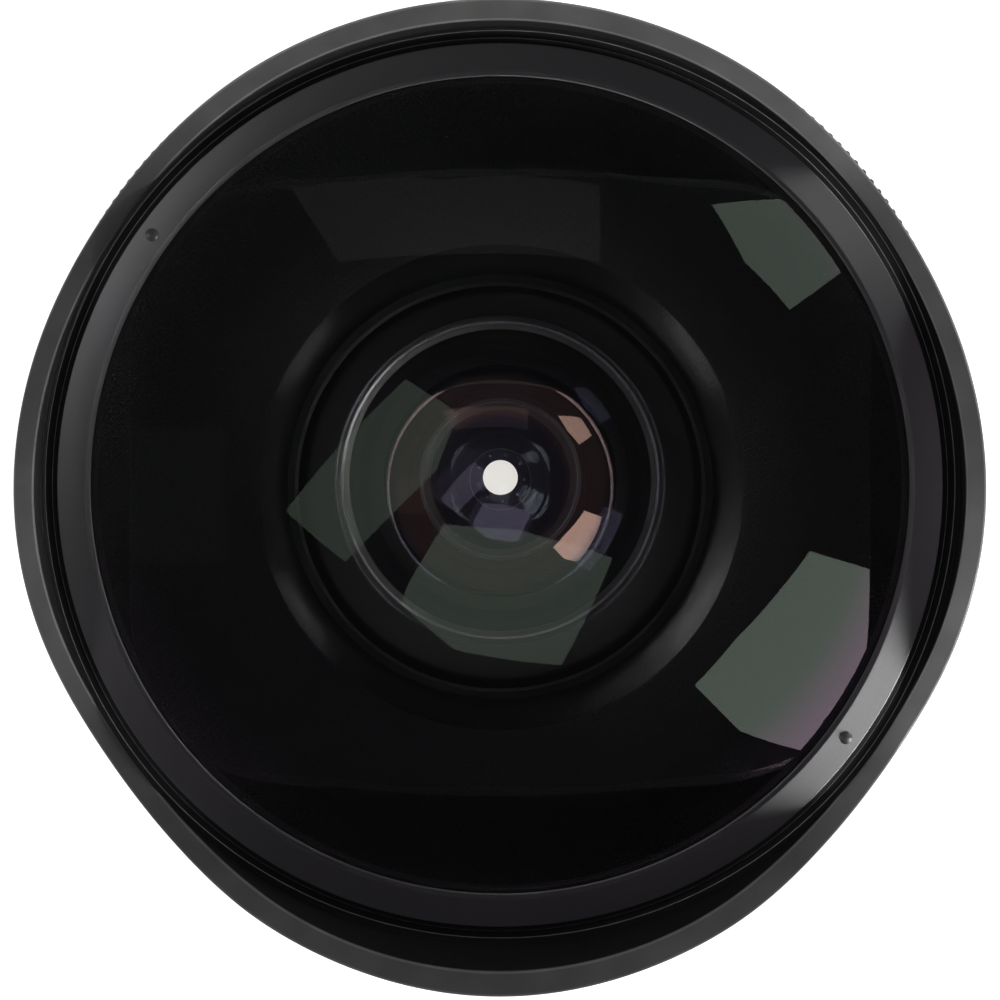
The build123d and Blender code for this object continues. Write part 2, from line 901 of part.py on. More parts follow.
# Rubber grip: a sleeve with straight axial ribs of a rounded tooth section
rib_step = 360 / grip_rib_count
rib_corners = []
for rib in range(grip_rib_count):
    valley = rib * rib_step
    rise = valley + (1 - grip_crest_share - 2 * grip_flank_share) * rib_step
    crest_start = rise + grip_flank_share * rib_step
    crest_end = crest_start + grip_crest_share * rib_step
    rib_corners += [
        at(grip_valley_radius, valley),
        at(grip_valley_radius, rise),
        at(grip_crest_radius, crest_start),
        at(grip_crest_radius, crest_end),
    ]
with BuildPart() as focus_grip:
    with BuildSketch(Plane.XY.offset(grip_rear_z)):
        with BuildLine():
            Polyline(*rib_corners, close=True)
        make_face()
        Circle(grip_seat_radius, mode=Mode.SUBTRACT)
    extrude(amount=grip_front_z - grip_rear_z)
finish(focus_grip, "focus_grip")

# Petal hood: front barrel and petals in one piece, cut by one profile along X
front_rear_vertex = deck_z + sag(bowl_surface_radius, bowl_clear_radius)
front_vertex = front_rear_vertex + front_thickness
front_rim_z = front_vertex - sag(front_surface_radius, front_rim_radius)
hood_ledge_z = hood_z + hood_ledge_height
cell_screw_circle = hood_bore_radius - cell_skirt_wall / 2
with BuildPart() as petal_hood:
    revolve(
        outline(
            [
                (hood_floor_radius, hood_z),
                (hood_radius - ring_gap, hood_z),
                (hood_radius, hood_z + ring_gap),
                (hood_radius, hood_z + hood_band_height),
                (cap_groove_radius, hood_z + hood_band_height),
                (cap_groove_radius, hood_z + hood_band_height + cap_groove_width),
                (hood_radius, hood_z + hood_band_height + cap_groove_width),
                (hood_radius, petal_tip_z),
                (hood_mouth_radius, petal_tip_z),
                (hood_mouth_radius, hood_ledge_z),
                (hood_ledge_radius, hood_ledge_z),
                (hood_ledge_radius, hood_ledge_z - hood_ledge_depth),
                (hood_bore_radius, hood_ledge_z - hood_ledge_depth),
                (hood_bore_radius, cell_seat_z),
                (hood_floor_radius, cell_seat_z),
            ]
        ),
        axis=Axis.Z,
    )
    petal_edge = [
        (across * hood_radius, short_rim_z + up * petal_height) for across, up in petal_edge_shares
    ]
    mirrored_edge = [(-across, up) for across, up in reversed(petal_edge[1:])]
    edge_end = petal_overshoot_share * hood_radius
    sky_z = petal_tip_z + petal_height
    with BuildSketch(Plane.YZ.offset(-hood_radius - cut_overrun)):
        with BuildLine():
            Spline(*mirrored_edge, *petal_edge)
            Polyline(
                petal_edge[-1],
                (edge_end, petal_tip_z),
                (edge_end, sky_z),
                (-edge_end, sky_z),
                (-edge_end, petal_tip_z),
                mirrored_edge[0],
            )
        make_face()
    extrude(amount=2 * (hood_radius + cut_overrun), mode=Mode.SUBTRACT)
    with BuildSketch(Plane.XY.offset(hood_z)):
        with PolarLocations(hood_screw_circle, hood_screw_count):
            Circle(small_screw_radius)
    extrude(amount=hood_floor_thickness, mode=Mode.SUBTRACT)
    with Locations((0, 0, hood_z)):
        with PolarLocations(cell_screw_circle, cell_screw_count, start_angle=30):
            add(sunk_screw(small_screw_radius, small_head_radius, cell_screw_length), mode=Mode.SUBTRACT)
finish(petal_hood, "petal_hood")

with BuildPart() as hood_screws:
    with BuildSketch(Plane.XY.offset(barrel_flange_z)):
        with PolarLocations(hood_screw_circle, hood_screw_count):
            Circle(small_screw_radius)
    extrude(amount=barrel_flange_thickness + hood_floor_thickness)
    with BuildSketch(Plane.XY.offset(cell_seat_z)):
        with PolarLocations(hood_screw_circle, hood_screw_count):
            Circle(small_head_radius)
    extrude(amount=screw_head_height)
finish(hood_screws, "hood_screws")

# Front cell: skirt on the hood's floor, deck under the front element, tube round the second
second_ledge_z = deck_z - cell_deck_thickness - second_cup_depth
second_rear_vertex = second_ledge_z + sag(second_rear_surface, second_rear_clear)
second_front_vertex = second_rear_vertex + second_thickness
second_edge_z = second_front_vertex - sag(second_front_surface, second_front_clear)
with BuildPart() as front_cell:
    revolve(
        outline(
            [
                (hood_bore_radius - cell_skirt_wall, cell_seat_z),
                (hood_bore_radius, cell_seat_z),
                (hood_bore_radius, front_rim_z + cell_rim_height),
                (ring_thread_radius, front_rim_z + cell_rim_height),
                (ring_thread_radius, front_rim_z),
                (front_rim_radius, front_rim_z),
                (front_rim_radius, deck_z),
                (second_ring_radius, deck_z),
                (second_ring_radius, second_edge_z),
                (second_rim_radius, second_edge_z),
                (second_rim_radius, second_ledge_z),
                (cell_tube_opening, second_ledge_z),
                (cell_tube_opening, second_ledge_z - cell_tube_floor),
                (cell_tube_radius, second_ledge_z - cell_tube_floor),
                (cell_tube_radius, deck_z - cell_deck_thickness),
                (hood_bore_radius - cell_skirt_wall, deck_z - cell_deck_thickness),
            ]
        ),
        axis=Axis.Z,
    )
    with Locations((0, 0, hood_z)):
        with PolarLocations(cell_screw_circle, cell_screw_count, start_angle=30):
            add(sunk_screw(small_screw_radius, small_head_radius, cell_screw_length), mode=Mode.SUBTRACT)
finish(front_cell, "front_cell")

with BuildPart() as front_cell_screws:
    with Locations((0, 0, hood_z)):
        with PolarLocations(cell_screw_circle, cell_screw_count, start_angle=30):
            add(sunk_screw(small_screw_radius, small_head_radius, cell_screw_length))
finish(front_cell_screws, "front_cell_screws")

with BuildPart() as front_element:
    revolve(
        lens(
            (front_vertex, front_surface_radius, front_rim_radius),
            (front_rear_vertex, bowl_surface_radius, bowl_clear_radius),
            front_rim_radius,
        ),
        axis=Axis.Z,
    )
finish(front_element, "front_element")

with BuildPart() as front_gasket:
    revolve(
        tube(front_rim_radius, ring_thread_radius, front_rim_z, front_rim_z + gasket_thickness),
        axis=Axis.Z,
    )
finish(front_gasket, "front_gasket")

# Front retaining ring: its underside follows the glass, and two plugs close its spanner holes
ring_top_z = front_rim_z + cell_rim_height + ring_proud
ring_lip_z = front_vertex - sag(front_surface_radius, ring_visible_radius)
ring_mid_radius = (ring_visible_radius + front_rim_radius) / 2
plug_dome_radius = (plug_radius**2 + plug_crown**2) / (2 * plug_crown)
plug_places = [at(plug_circle, plug_angle), at(plug_circle, plug_angle + 180)]
with BuildPart() as front_retaining_ring:
    with BuildSketch(Plane.XZ):
        with BuildLine():
            ThreePointArc(
                (ring_visible_radius, ring_lip_z),
                (ring_mid_radius, front_vertex - sag(front_surface_radius, ring_mid_radius)),
                (front_rim_radius, front_rim_z),
            )
            Polyline(
                (front_rim_radius, front_rim_z),
                (front_rim_radius, front_rim_z + gasket_thickness),
                (ring_thread_radius, front_rim_z + gasket_thickness),
                (ring_thread_radius, ring_top_z),
                (ring_visible_radius + ring_bevel, ring_top_z),
                (ring_visible_radius, ring_top_z - ring_bevel),
                (ring_visible_radius, ring_lip_z),
            )
        make_face()
    revolve(axis=Axis.Z)
    with BuildSketch(Plane.XY.offset(ring_top_z)):
        with Locations(*plug_places):
            Circle(plug_radius)
    extrude(amount=-plug_depth, mode=Mode.SUBTRACT)
finish(front_retaining_ring, "front_retaining_ring")

with BuildPart() as plug:
    with BuildSketch(Plane.XZ):
        with BuildLine():
            Polyline((0, plug_crown), (0, -plug_depth), (plug_radius, -plug_depth), (plug_radius, 0))
            ThreePointArc(
                (plug_radius, 0),
                (plug_radius / 2, plug_crown - sag(plug_dome_radius, plug_radius / 2)),
                (0, plug_crown),
            )
        make_face()
    revolve(axis=Axis.Z)

with BuildPart() as spanner_hole_plugs:
    with Locations(*[(x, y, ring_top_z) for x, y in plug_places]):
        add(plug.part)
finish(spanner_hole_plugs, "spanner_hole_plugs")

with BuildPart() as hood_seal_ring:
    seal_z = hood_ledge_z - hood_ledge_depth
    revolve(
        tube(hood_bore_radius, hood_ledge_radius, seal_z, seal_z + seal_thickness), axis=Axis.Z
    )
finish(hood_seal_ring, "hood_seal_ring")

with BuildPart() as second_element:
    revolve(
        lens(
            (second_front_vertex, second_front_surface, second_front_clear),
            (second_rear_vertex, second_rear_surface, second_rear_clear),
            second_rim_radius,
        ),
        axis=Axis.Z,
    )
finish(second_element, "second_element")

with BuildPart() as second_retaining_ring:
    second_ring_top = deck_z - cell_deck_thickness
    revolve(
        outline(
            [
                (second_front_clear, second_edge_z),
                (second_ring_radius, second_edge_z),
                (second_ring_radius, second_ring_top),
                (second_front_clear + second_ring_bevel, second_ring_top),
                (second_front_clear, second_ring_top - second_ring_bevel),
            ]
        ),
        axis=Axis.Z,
    )
finish(second_retaining_ring, "second_retaining_ring")

# Focusing cell: slides in the fixed barrel and carries the third element and a doublet
carrier_outer = fixed_barrel_inner - running_gap
carrier_rear_z = roller_z - carrier_below_roller
cell_web_rear_z = roller_z - web_below_roller
cell_web_front_z = roller_z + web_above_roller
third_seat_z = cell_web_front_z + third_seat_height
third_rear_vertex = third_seat_z + sag(third_rear_surface, third_rear_clear)
third_front_vertex = third_rear_vertex + third_thickness
third_edge_z = third_front_vertex - sag(third_front_surface, third_front_clear)
third_ring_top = third_edge_z + third_ring_height
doublet_front_vertex = cell_web_front_z - doublet_below_web
doublet_seat_z = doublet_front_vertex - sag(doublet_front_surface, doublet_clear_radius)
doublet_cement_vertex = doublet_front_vertex - doublet_front_thickness
doublet_rear_vertex = doublet_cement_vertex - doublet_rear_thickness
doublet_rear_z = doublet_rear_vertex - sag(doublet_rear_surface, doublet_clear_radius)
doublet_tail_z = doublet_rear_z - doublet_ring_height
front_tube_radius = third_rim_radius + front_tube_wall
rear_tube_radius = doublet_rim_radius + rear_tube_wall
roller_angles = [roller_angle + roller * 360 / roller_count for roller in range(roller_count)]
with BuildPart() as focus_cell:
    revolve(
        outline(
            [
                (carrier_outer - carrier_wall, carrier_rear_z),
                (carrier_outer, carrier_rear_z),
                (carrier_outer, carrier_rear_z + carrier_length),
                (carrier_outer - carrier_wall, carrier_rear_z + carrier_length),
                (carrier_outer - carrier_wall, cell_web_front_z),
                (front_tube_radius, cell_web_front_z),
                (front_tube_radius, third_ring_top),
                (third_rim_radius, third_ring_top),
                (third_rim_radius, third_seat_z),
                (third_rear_clear, third_seat_z),
                (third_rear_clear, cell_web_front_z),
                (light_stop_radius, cell_web_front_z),
                (light_stop_radius, cell_web_front_z - light_stop_thickness),
                (doublet_clear_radius, cell_web_front_z - light_stop_thickness),
                (doublet_clear_radius, doublet_seat_z),
                (doublet_rim_radius, doublet_seat_z),
                (doublet_rim_radius, doublet_tail_z),
                (rear_tube_radius, doublet_tail_z),
                (rear_tube_radius, cell_web_rear_z),
                (carrier_outer - carrier_wall, cell_web_rear_z),
            ]
        ),
        axis=Axis.Z,
    )
    with BuildSketch(Plane.XY.offset(cell_web_rear_z)):
        with PolarLocations(carrier_outer - carrier_wall - web_hole_inset, web_hole_count):
            Circle(web_hole_radius)
    extrude(amount=cell_web_front_z - cell_web_rear_z, mode=Mode.SUBTRACT)
    for angle in roller_angles:
        add(
            radial_rod(
                angle,
                roller_z,
                carrier_outer - carrier_wall,
                carrier_outer + cut_overrun,
                roller_bore,
            ),
            mode=Mode.SUBTRACT,
        )
finish(focus_cell, "focus_cell")

with BuildPart() as cam_rollers:
    for angle in roller_angles:
        add(radial_rod(angle, roller_z, carrier_outer, cam_outer + roller_proud, roller_radius))
    for angle in roller_angles:
        add(
            radial_rod(
                angle, roller_z, carrier_outer - cut_overrun, cam_outer + cut_overrun, roller_bore
            ),
            mode=Mode.SUBTRACT,
        )
finish(cam_rollers, "cam_rollers")

with BuildPart() as roller_screws:
    for angle in roller_angles:
        add(
            radial_rod(
                angle,
                roller_z,
                carrier_outer - carrier_wall,
                cam_outer + roller_proud,
                roller_bore,
            )
        )
        add(
            radial_rod(
                angle,
                roller_z,
                cam_outer + roller_proud,
                cam_outer + roller_proud + screw_head_height,
                tiny_head_radius,
            )
        )
finish(roller_screws, "roller_screws")

with BuildPart() as third_element:
    revolve(
        lens(
            (third_front_vertex, third_front_surface, third_front_clear),
            (third_rear_vertex, third_rear_surface, third_rear_clear),
            third_rim_radius,
        ),
        axis=Axis.Z,
    )
finish(third_element, "third_element")

with BuildPart() as third_retaining_ring:
    revolve(tube(third_front_clear, third_rim_radius, third_edge_z, third_ring_top), axis=Axis.Z)
finish(third_retaining_ring, "third_retaining_ring")

with BuildPart() as fourth_element:
    revolve(
        lens(
            (doublet_front_vertex, doublet_front_surface, doublet_clear_radius),
            (doublet_cement_vertex, doublet_cement_surface, doublet_rim_radius),
            doublet_rim_radius,
        ),
        axis=Axis.Z,
    )
finish(fourth_element, "fourth_element")

with BuildPart() as fifth_element:
    revolve(
        lens(
            (doublet_cement_vertex, doublet_cement_surface, doublet_rim_radius),
            (doublet_rear_vertex, doublet_rear_surface, doublet_clear_radius),
            doublet_rim_radius,
        ),
        axis=Axis.Z,
    )
finish(fifth_element, "fifth_element")

with BuildPart() as doublet_retaining_ring:
    revolve(
        tube(doublet_clear_radius, doublet_rim_radius, doublet_tail_z, doublet_rear_z), axis=Axis.Z
    )
finish(doublet_retaining_ring, "doublet_retaining_ring")

# Iris housing: a bulkhead in the fixed barrel with a collar that holds plate, blades and tube
base_plate_z = housing_z - base_plate_thickness
blade_stack = (blade_count - 1) * blade_pitch + blade_thickness
iris_ring_front_z = base_plate_z - blade_stack - 2 * (blade_pitch - blade_thickness)
iris_ring_rear_z = iris_ring_front_z - iris_ring_thickness
tube_flange_z = iris_ring_rear_z - running_gap
tube_screw_circle = (collar_inner + collar_outer) / 2
with BuildPart() as iris_housing:
    revolve(
        outline(
            [
                (housing_disc_opening, housing_z),
                (collar_inner, housing_z),
                (collar_inner, tube_flange_z),
                (collar_outer, tube_flange_z),
                (collar_outer, housing_z),
                (fixed_barrel_inner, housing_z),
                (fixed_barrel_inner, housing_z + housing_disc_thickness),
                (housing_disc_opening, housing_z + housing_disc_thickness),
            ]
        ),
        axis=Axis.Z,
    )
    for screw in range(housing_screw_count):
        add(
            radial_rod(
                screw * 360 / housing_screw_count,
                housing_screw_z,
                fixed_barrel_inner - carrier_wall,
                fixed_barrel_inner + cut_overrun,
                small_screw_radius,
            ),
            mode=Mode.SUBTRACT,
        )
    with BuildSketch(Plane.XY.offset(tube_flange_z)):
        with PolarLocations(tube_screw_circle, tube_screw_count):
            Circle(tiny_screw_radius)
    extrude(amount=base_plate_thickness + blade_stack, mode=Mode.SUBTRACT)
    with BuildSketch(Plane.XY.offset(housing_z)):
        with PolarLocations(plate_screw_circle, plate_screw_count, start_angle=60):
            Circle(tiny_screw_radius)
    extrude(amount=housing_disc_thickness, mode=Mode.SUBTRACT)
finish(iris_housing, "iris_housing")

with BuildPart() as housing_screws:
    for screw in range(housing_screw_count):
        add(
            radial_rod(
                screw * 360 / housing_screw_count,
                housing_screw_z,
                fixed_barrel_inner - carrier_wall,
                fixed_barrel_outer,
                small_screw_radius,
            )
        )
finish(housing_screws, "housing_screws")

pivot_angles = [iris_angle + blade * 360 / blade_count for blade in range(blade_count)]

# Base plate: the fixed stop, with the blades' pivot holes and small peened stakes round the opening
with BuildPart() as iris_base_plate:
    with BuildSketch(Plane.XY.offset(base_plate_z)):
        Circle(collar_inner)
        Circle(stop_radius, mode=Mode.SUBTRACT)
        with Locations(*[at(pivot_circle, angle) for angle in pivot_angles]):
            Circle(pin_radius + pin_clearance, mode=Mode.SUBTRACT)
        with PolarLocations(plate_screw_circle, plate_screw_count, start_angle=60):
            Circle(tiny_screw_radius, mode=Mode.SUBTRACT)
    extrude(amount=base_plate_thickness)
    with BuildSketch(Plane.XY.offset(housing_z)):
        with Locations(*[at(stake_circle, angle) for angle in pivot_angles]):
            Circle(stake_radius)
    extrude(amount=stake_height)
finish(iris_base_plate, "iris_base_plate")

with BuildPart() as iris_plate_screws:
    with BuildSketch(Plane.XY.offset(base_plate_z)):
        with PolarLocations(plate_screw_circle, plate_screw_count, start_angle=60):
            Circle(tiny_screw_radius)
    extrude(amount=base_plate_thickness + housing_disc_thickness)
    with BuildSketch(Plane.XY.offset(housing_z + housing_disc_thickness)):
        with PolarLocations(plate_screw_circle, plate_screw_count, start_angle=60):
            Circle(tiny_head_radius)
    extrude(amount=screw_head_height)
finish(iris_plate_screws, "iris_plate_screws")


def drive_pin_point(pivot_angle, turn):
    """Where a blade's drive pin stands once the blade has turned about its pivot."""
    pivot = at(pivot_circle, pivot_angle)
    rest = at(pivot_circle, pivot_angle - drive_pin_angle)
    arm_x = rest[0] - pivot[0]
    arm_y = rest[1] - pivot[1]
    swing = radians(turn)
    return (
        pivot[0] + arm_x * cos(swing) - arm_y * sin(swing),
        pivot[1] + arm_x * sin(swing) + arm_y * cos(swing),
    )


def cam_point(pivot_angle, share):
    """The same pin seen from the iris ring, which has made this share of its turn."""
    x, y = drive_pin_point(pivot_angle, share * blade_turn)
    return at(hypot(x, y), degrees(atan2(y, x)) - share * aperture_turn)


def cam_slot_face(pivot_angle):
    """One curved slot of the iris ring, as wide as a drive pin and its clearance."""
    with BuildLine() as path:
        ThreePointArc(cam_point(pivot_angle, 0), cam_point(pivot_angle, 1 / 2), cam_point(pivot_angle, 1))
    with BuildSketch() as slot:
        SlotArc(path.wire(), 2 * (pin_radius + slot_clearance))
    return slot.sketch


# Iris ring: cam slots worked out so that the blades turn in step with the ring
finger_angle = degrees(fork_finger_width / fork_outer)
finger_offset = degrees((fork_pin_radius + fork_gap) / fork_outer)
fork_tail_z = drive_pin_z - fork_tail
with BuildPart() as iris_ring:
    with BuildSketch(Plane.XY.offset(iris_ring_rear_z)):
        Circle(iris_ring_outer)
        Circle(iris_ring_inner, mode=Mode.SUBTRACT)
        for angle in pivot_angles:
            add(cam_slot_face(angle), mode=Mode.SUBTRACT)
    extrude(amount=iris_ring_thickness)
    for finger_start in (fork_angle + finger_offset, fork_angle - finger_offset - finger_angle):
        with BuildSketch(Plane.XY.offset(fork_tail_z)):
            add(arc_sector(fork_inner, fork_outer, finger_start, finger_angle))
        extrude(amount=iris_ring_rear_z - fork_tail_z + iris_ring_thickness / 2)
finish(iris_ring, "iris_ring")

# Iris blades: thin crescents, each on its own level, with a pivot pin and a drive pin
for blade, angle in enumerate(pivot_angles):
    blade_top = base_plate_z - (blade_pitch - blade_thickness) - blade * blade_pitch
    blade_bottom = blade_top - blade_thickness
    heel_circle = (blade_inner_radius + blade_outer_radius) / 2 + heel_boss_radius
    with BuildPart() as iris_blade:
        with BuildSketch(Plane.XY.offset(blade_bottom)):
            add(
                arc_sector(
                    blade_inner_radius,
                    blade_outer_radius,
                    angle - blade_heel,
                    blade_span + blade_heel,
                )
            )
            with BuildSketch(mode=Mode.PRIVATE) as lobe:
                with Locations(at(pivot_circle, angle)):
                    Circle(pivot_boss_radius)
                with Locations(at(pivot_circle, angle - drive_pin_angle)):
                    Circle(drive_boss_radius)
                with Locations(at(heel_circle, angle)):
                    Circle(heel_boss_radius)
                make_hull()
            add(lobe.sketch)
        extrude(amount=blade_thickness)
        with BuildSketch(Plane.XY.offset(blade_top)):
            with Locations(at(pivot_circle, angle)):
                Circle(pin_radius)
        extrude(amount=housing_z - running_gap - blade_top)
        with BuildSketch(Plane.XY.offset(blade_bottom)):
            with Locations(at(pivot_circle, angle - drive_pin_angle)):
                Circle(pin_radius)
        extrude(amount=iris_ring_rear_z - blade_bottom)
    finish(iris_blade, f"iris_blade_{blade + 1}")

# Rear lens tube: hangs from the iris housing, with an arc slot for the fork's sweep
sixth_edge_z = tube_flange_z - tube_lip_height
sixth_vertex = sixth_edge_z + sag(sixth_front_surface, tube_lip_radius)
sixth_cement_vertex = sixth_vertex - sixth_thickness
seventh_rear_vertex = sixth_cement_vertex - seventh_thickness
seventh_edge_z = seventh_rear_vertex - sag(seventh_rear_surface, rear_clear_radius)
eighth_edge_front = seventh_edge_z - front_spacer_width
eighth_vertex = eighth_edge_front + sag(eighth_surface, rear_clear_radius)
eighth_rear_vertex = eighth_vertex - eighth_thickness
eighth_edge_rear = eighth_rear_vertex + sag(eighth_surface, rear_clear_radius)
ninth_edge_z = eighth_edge_rear - rear_spacer_width
ninth_vertex = ninth_edge_z + sag(ninth_front_surface, rear_clear_radius)
ninth_cement_vertex = ninth_vertex - ninth_thickness
tenth_rear_vertex = ninth_cement_vertex - tenth_thickness
tenth_edge_z = tenth_rear_vertex - sag(tenth_rear_surface, rear_clear_radius)
tube_end_z = tenth_edge_z - rear_ring_height - tube_tail
slot_margin = degrees(ring_gap / fork_outer)
with BuildPart() as rear_lens_tube:
    revolve(
        outline(
            [
                (tube_lip_radius, tube_flange_z),
                (collar_outer, tube_flange_z),
                (collar_outer, tube_flange_z - tube_flange_thickness),
                (tube_outer_radius, tube_flange_z - tube_flange_thickness),
                (tube_outer_radius, tube_end_z),
                (tube_bore_radius, tube_end_z),
                (tube_bore_radius, sixth_edge_z),
                (tube_lip_radius, sixth_edge_z),
            ]
        ),
        axis=Axis.Z,
    )
    with BuildSketch(Plane.XY.offset(tube_flange_z)):
        add(
            arc_sector(
                fork_inner - ring_gap,
                fork_outer + ring_gap,
                fork_angle - finger_offset - finger_angle - slot_margin,
                aperture_turn + 2 * (finger_offset + finger_angle + slot_margin),
            )
        )
    extrude(amount=-tube_flange_thickness, mode=Mode.SUBTRACT)
    with BuildSketch(Plane.XY.offset(tube_flange_z)):
        with PolarLocations(tube_screw_circle, tube_screw_count):
            Circle(tiny_screw_radius)
    extrude(amount=-tube_flange_thickness, mode=Mode.SUBTRACT)
finish(rear_lens_tube, "rear_lens_tube")

with BuildPart() as rear_tube_screws:
    with BuildSketch(Plane.XY.offset(tube_flange_z - tube_flange_thickness)):
        with PolarLocations(tube_screw_circle, tube_screw_count):
            Circle(tiny_screw_radius)
    extrude(amount=tube_flange_thickness + base_plate_thickness + blade_stack)
    with BuildSketch(Plane.XY.offset(tube_flange_z - tube_flange_thickness)):
        with PolarLocations(tube_screw_circle, tube_screw_count):
            Circle(tiny_head_radius)
    extrude(amount=-screw_head_height)
finish(rear_tube_screws, "rear_tube_screws")

with BuildPart() as sixth_element:
    revolve(
        lens(
            (sixth_vertex, sixth_front_surface, tube_lip_radius),
            (sixth_cement_vertex, sixth_rear_surface, tube_bore_radius),
            tube_bore_radius,
        ),
        axis=Axis.Z,
    )
finish(sixth_element, "sixth_element")

with BuildPart() as seventh_element:
    revolve(
        lens(
            (sixth_cement_vertex, sixth_rear_surface, tube_bore_radius),
            (seventh_rear_vertex, seventh_rear_surface, rear_clear_radius),
            tube_bore_radius,
        ),
        axis=Axis.Z,
    )
finish(seventh_element, "seventh_element")

with BuildPart() as rear_spacer_front:
    revolve(
        tube(rear_clear_radius, tube_bore_radius, eighth_edge_front, seventh_edge_z), axis=Axis.Z
    )
finish(rear_spacer_front, "rear_spacer_front")

with BuildPart() as eighth_element:
    revolve(
        lens(
            (eighth_vertex, eighth_surface, rear_clear_radius),
            (eighth_rear_vertex, -eighth_surface, rear_clear_radius),
            tube_bore_radius,
        ),
        axis=Axis.Z,
    )
finish(eighth_element, "eighth_element")

with BuildPart() as rear_spacer_rear:
    revolve(
        tube(rear_clear_radius, tube_bore_radius, ninth_edge_z, eighth_edge_rear), axis=Axis.Z
    )
finish(rear_spacer_rear, "rear_spacer_rear")

with BuildPart() as ninth_element:
    revolve(
        lens(
            (ninth_vertex, ninth_front_surface, rear_clear_radius),
            (ninth_cement_vertex, ninth_rear_surface, tube_bore_radius),
            tube_bore_radius,
        ),
        axis=Axis.Z,
    )
finish(ninth_element, "ninth_element")

with BuildPart() as tenth_element:
    revolve(
        lens(
            (ninth_cement_vertex, ninth_rear_surface, tube_bore_radius),
            (tenth_rear_vertex, tenth_rear_surface, rear_clear_radius),
            tube_bore_radius,
        ),
        axis=Axis.Z,
    )
finish(tenth_element, "tenth_element")

with BuildPart() as rear_retaining_ring:
    revolve(
        tube(rear_clear_radius, tube_bore_radius, tenth_edge_z - rear_ring_height, tenth_edge_z),
        axis=Axis.Z,
    )
finish(rear_retaining_ring, "rear_retaining_ring")

print("front vertex", round(front_vertex, 2), "petal tips", petal_tip_z, "tube end", round(tube_end_z, 2))
print("rear element", round(tenth_rear_vertex, 2), "focus cell tail", round(doublet_tail_z, 2))
print("second ledge", round(second_ledge_z, 2), "third ring top", round(third_ring_top, 2))
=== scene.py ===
"""Fisheye lens: finished surfaces, glass, markings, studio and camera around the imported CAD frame."""

import json
import math

import bmesh
import bpy
import numpy as np
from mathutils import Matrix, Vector


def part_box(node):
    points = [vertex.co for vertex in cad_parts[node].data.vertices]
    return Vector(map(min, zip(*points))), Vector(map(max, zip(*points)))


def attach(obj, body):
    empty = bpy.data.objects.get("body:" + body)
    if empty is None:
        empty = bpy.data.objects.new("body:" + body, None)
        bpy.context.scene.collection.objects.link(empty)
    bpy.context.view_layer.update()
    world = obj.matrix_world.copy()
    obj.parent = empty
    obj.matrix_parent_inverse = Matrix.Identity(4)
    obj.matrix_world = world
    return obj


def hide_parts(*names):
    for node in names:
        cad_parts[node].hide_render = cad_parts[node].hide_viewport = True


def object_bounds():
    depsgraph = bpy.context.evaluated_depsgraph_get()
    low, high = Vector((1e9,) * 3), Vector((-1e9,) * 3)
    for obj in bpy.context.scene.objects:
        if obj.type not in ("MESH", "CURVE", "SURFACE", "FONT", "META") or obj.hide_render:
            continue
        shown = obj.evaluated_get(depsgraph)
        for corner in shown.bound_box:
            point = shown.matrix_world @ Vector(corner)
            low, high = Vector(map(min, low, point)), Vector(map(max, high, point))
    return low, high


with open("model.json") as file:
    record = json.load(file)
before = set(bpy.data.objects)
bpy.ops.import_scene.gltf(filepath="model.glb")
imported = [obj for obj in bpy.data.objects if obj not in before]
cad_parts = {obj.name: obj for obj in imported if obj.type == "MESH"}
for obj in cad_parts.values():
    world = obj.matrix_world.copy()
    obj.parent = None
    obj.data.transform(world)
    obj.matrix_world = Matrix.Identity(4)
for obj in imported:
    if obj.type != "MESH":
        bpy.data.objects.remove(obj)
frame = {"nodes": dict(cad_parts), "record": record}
cad_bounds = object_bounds()

MM = 0.001
PER_MM = 1000
TAU = 2 * math.pi
AROUND = 288  # faces round a turned piece
ON_AXIS = 0.004  # mm, a point nearer to the axis lies on it
PLAIN_CUT = 7.3  # degrees, a half plane that meets no screw, hole or slot


# Materials


def node_material(name, **values):
    """Principled material with values set on the shader's own sockets."""
    material = bpy.data.materials.new(name)
    material.use_nodes = True
    shader = material.node_tree.nodes["Principled BSDF"]
    for socket, value in values.items():
        shader.inputs[socket.replace("_", " ")].default_value = value
    return material, material.node_tree, shader


def add_node(tree, kind, values=None, links=None, **settings):
    """New node with its settings, the values of its sockets and the outputs that feed its sockets."""
    node = tree.nodes.new("ShaderNode" + kind)
    for setting, value in settings.items():
        setattr(node, setting, value)
    for socket, value in (values or {}).items():
        node.inputs[socket].default_value = value
    for socket, output in (links or {}).items():
        tree.links.new(output, node.inputs[socket])
    return node


def grey(value, tint):
    return (value * tint[0], value * tint[1], value * tint[2], 1)


def object_noise(tree, scale, detail):
    """Noise in the object's own millimetres."""
    place_on_object = add_node(tree, "TexCoord").outputs["Object"]
    scaled = add_node(tree, "Mapping", {"Scale": [PER_MM] * 3}, {"Vector": place_on_object})
    noise = add_node(tree, "TexNoise", {"Scale": scale, "Detail": detail}, {"Vector": scaled.outputs["Vector"]})
    return noise.outputs[0]


def spread(tree, noise, low, high):
    """Spread the middle of a noise over low to high."""
    values = {"From Min": 0.3, "From Max": 0.7, "To Min": low, "To Max": high}
    return add_node(tree, "MapRange", values, {"Value": noise}).outputs["Result"]


def between(tree, factor, first, second):
    """Colour that goes from first to second with the factor."""
    return add_node(tree, "Mix", {6: first, 7: second}, {0: factor}, data_type="RGBA").outputs[2]


def uneven_colour(tree, shader, noise, first, second):
    tree.links.new(between(tree, spread(tree, noise, 0, 1), first, second), shader.inputs["Base Color"])


def uneven_gloss(tree, shader, noise, low, high):
    tree.links.new(spread(tree, noise, low, high), shader.inputs["Roughness"])


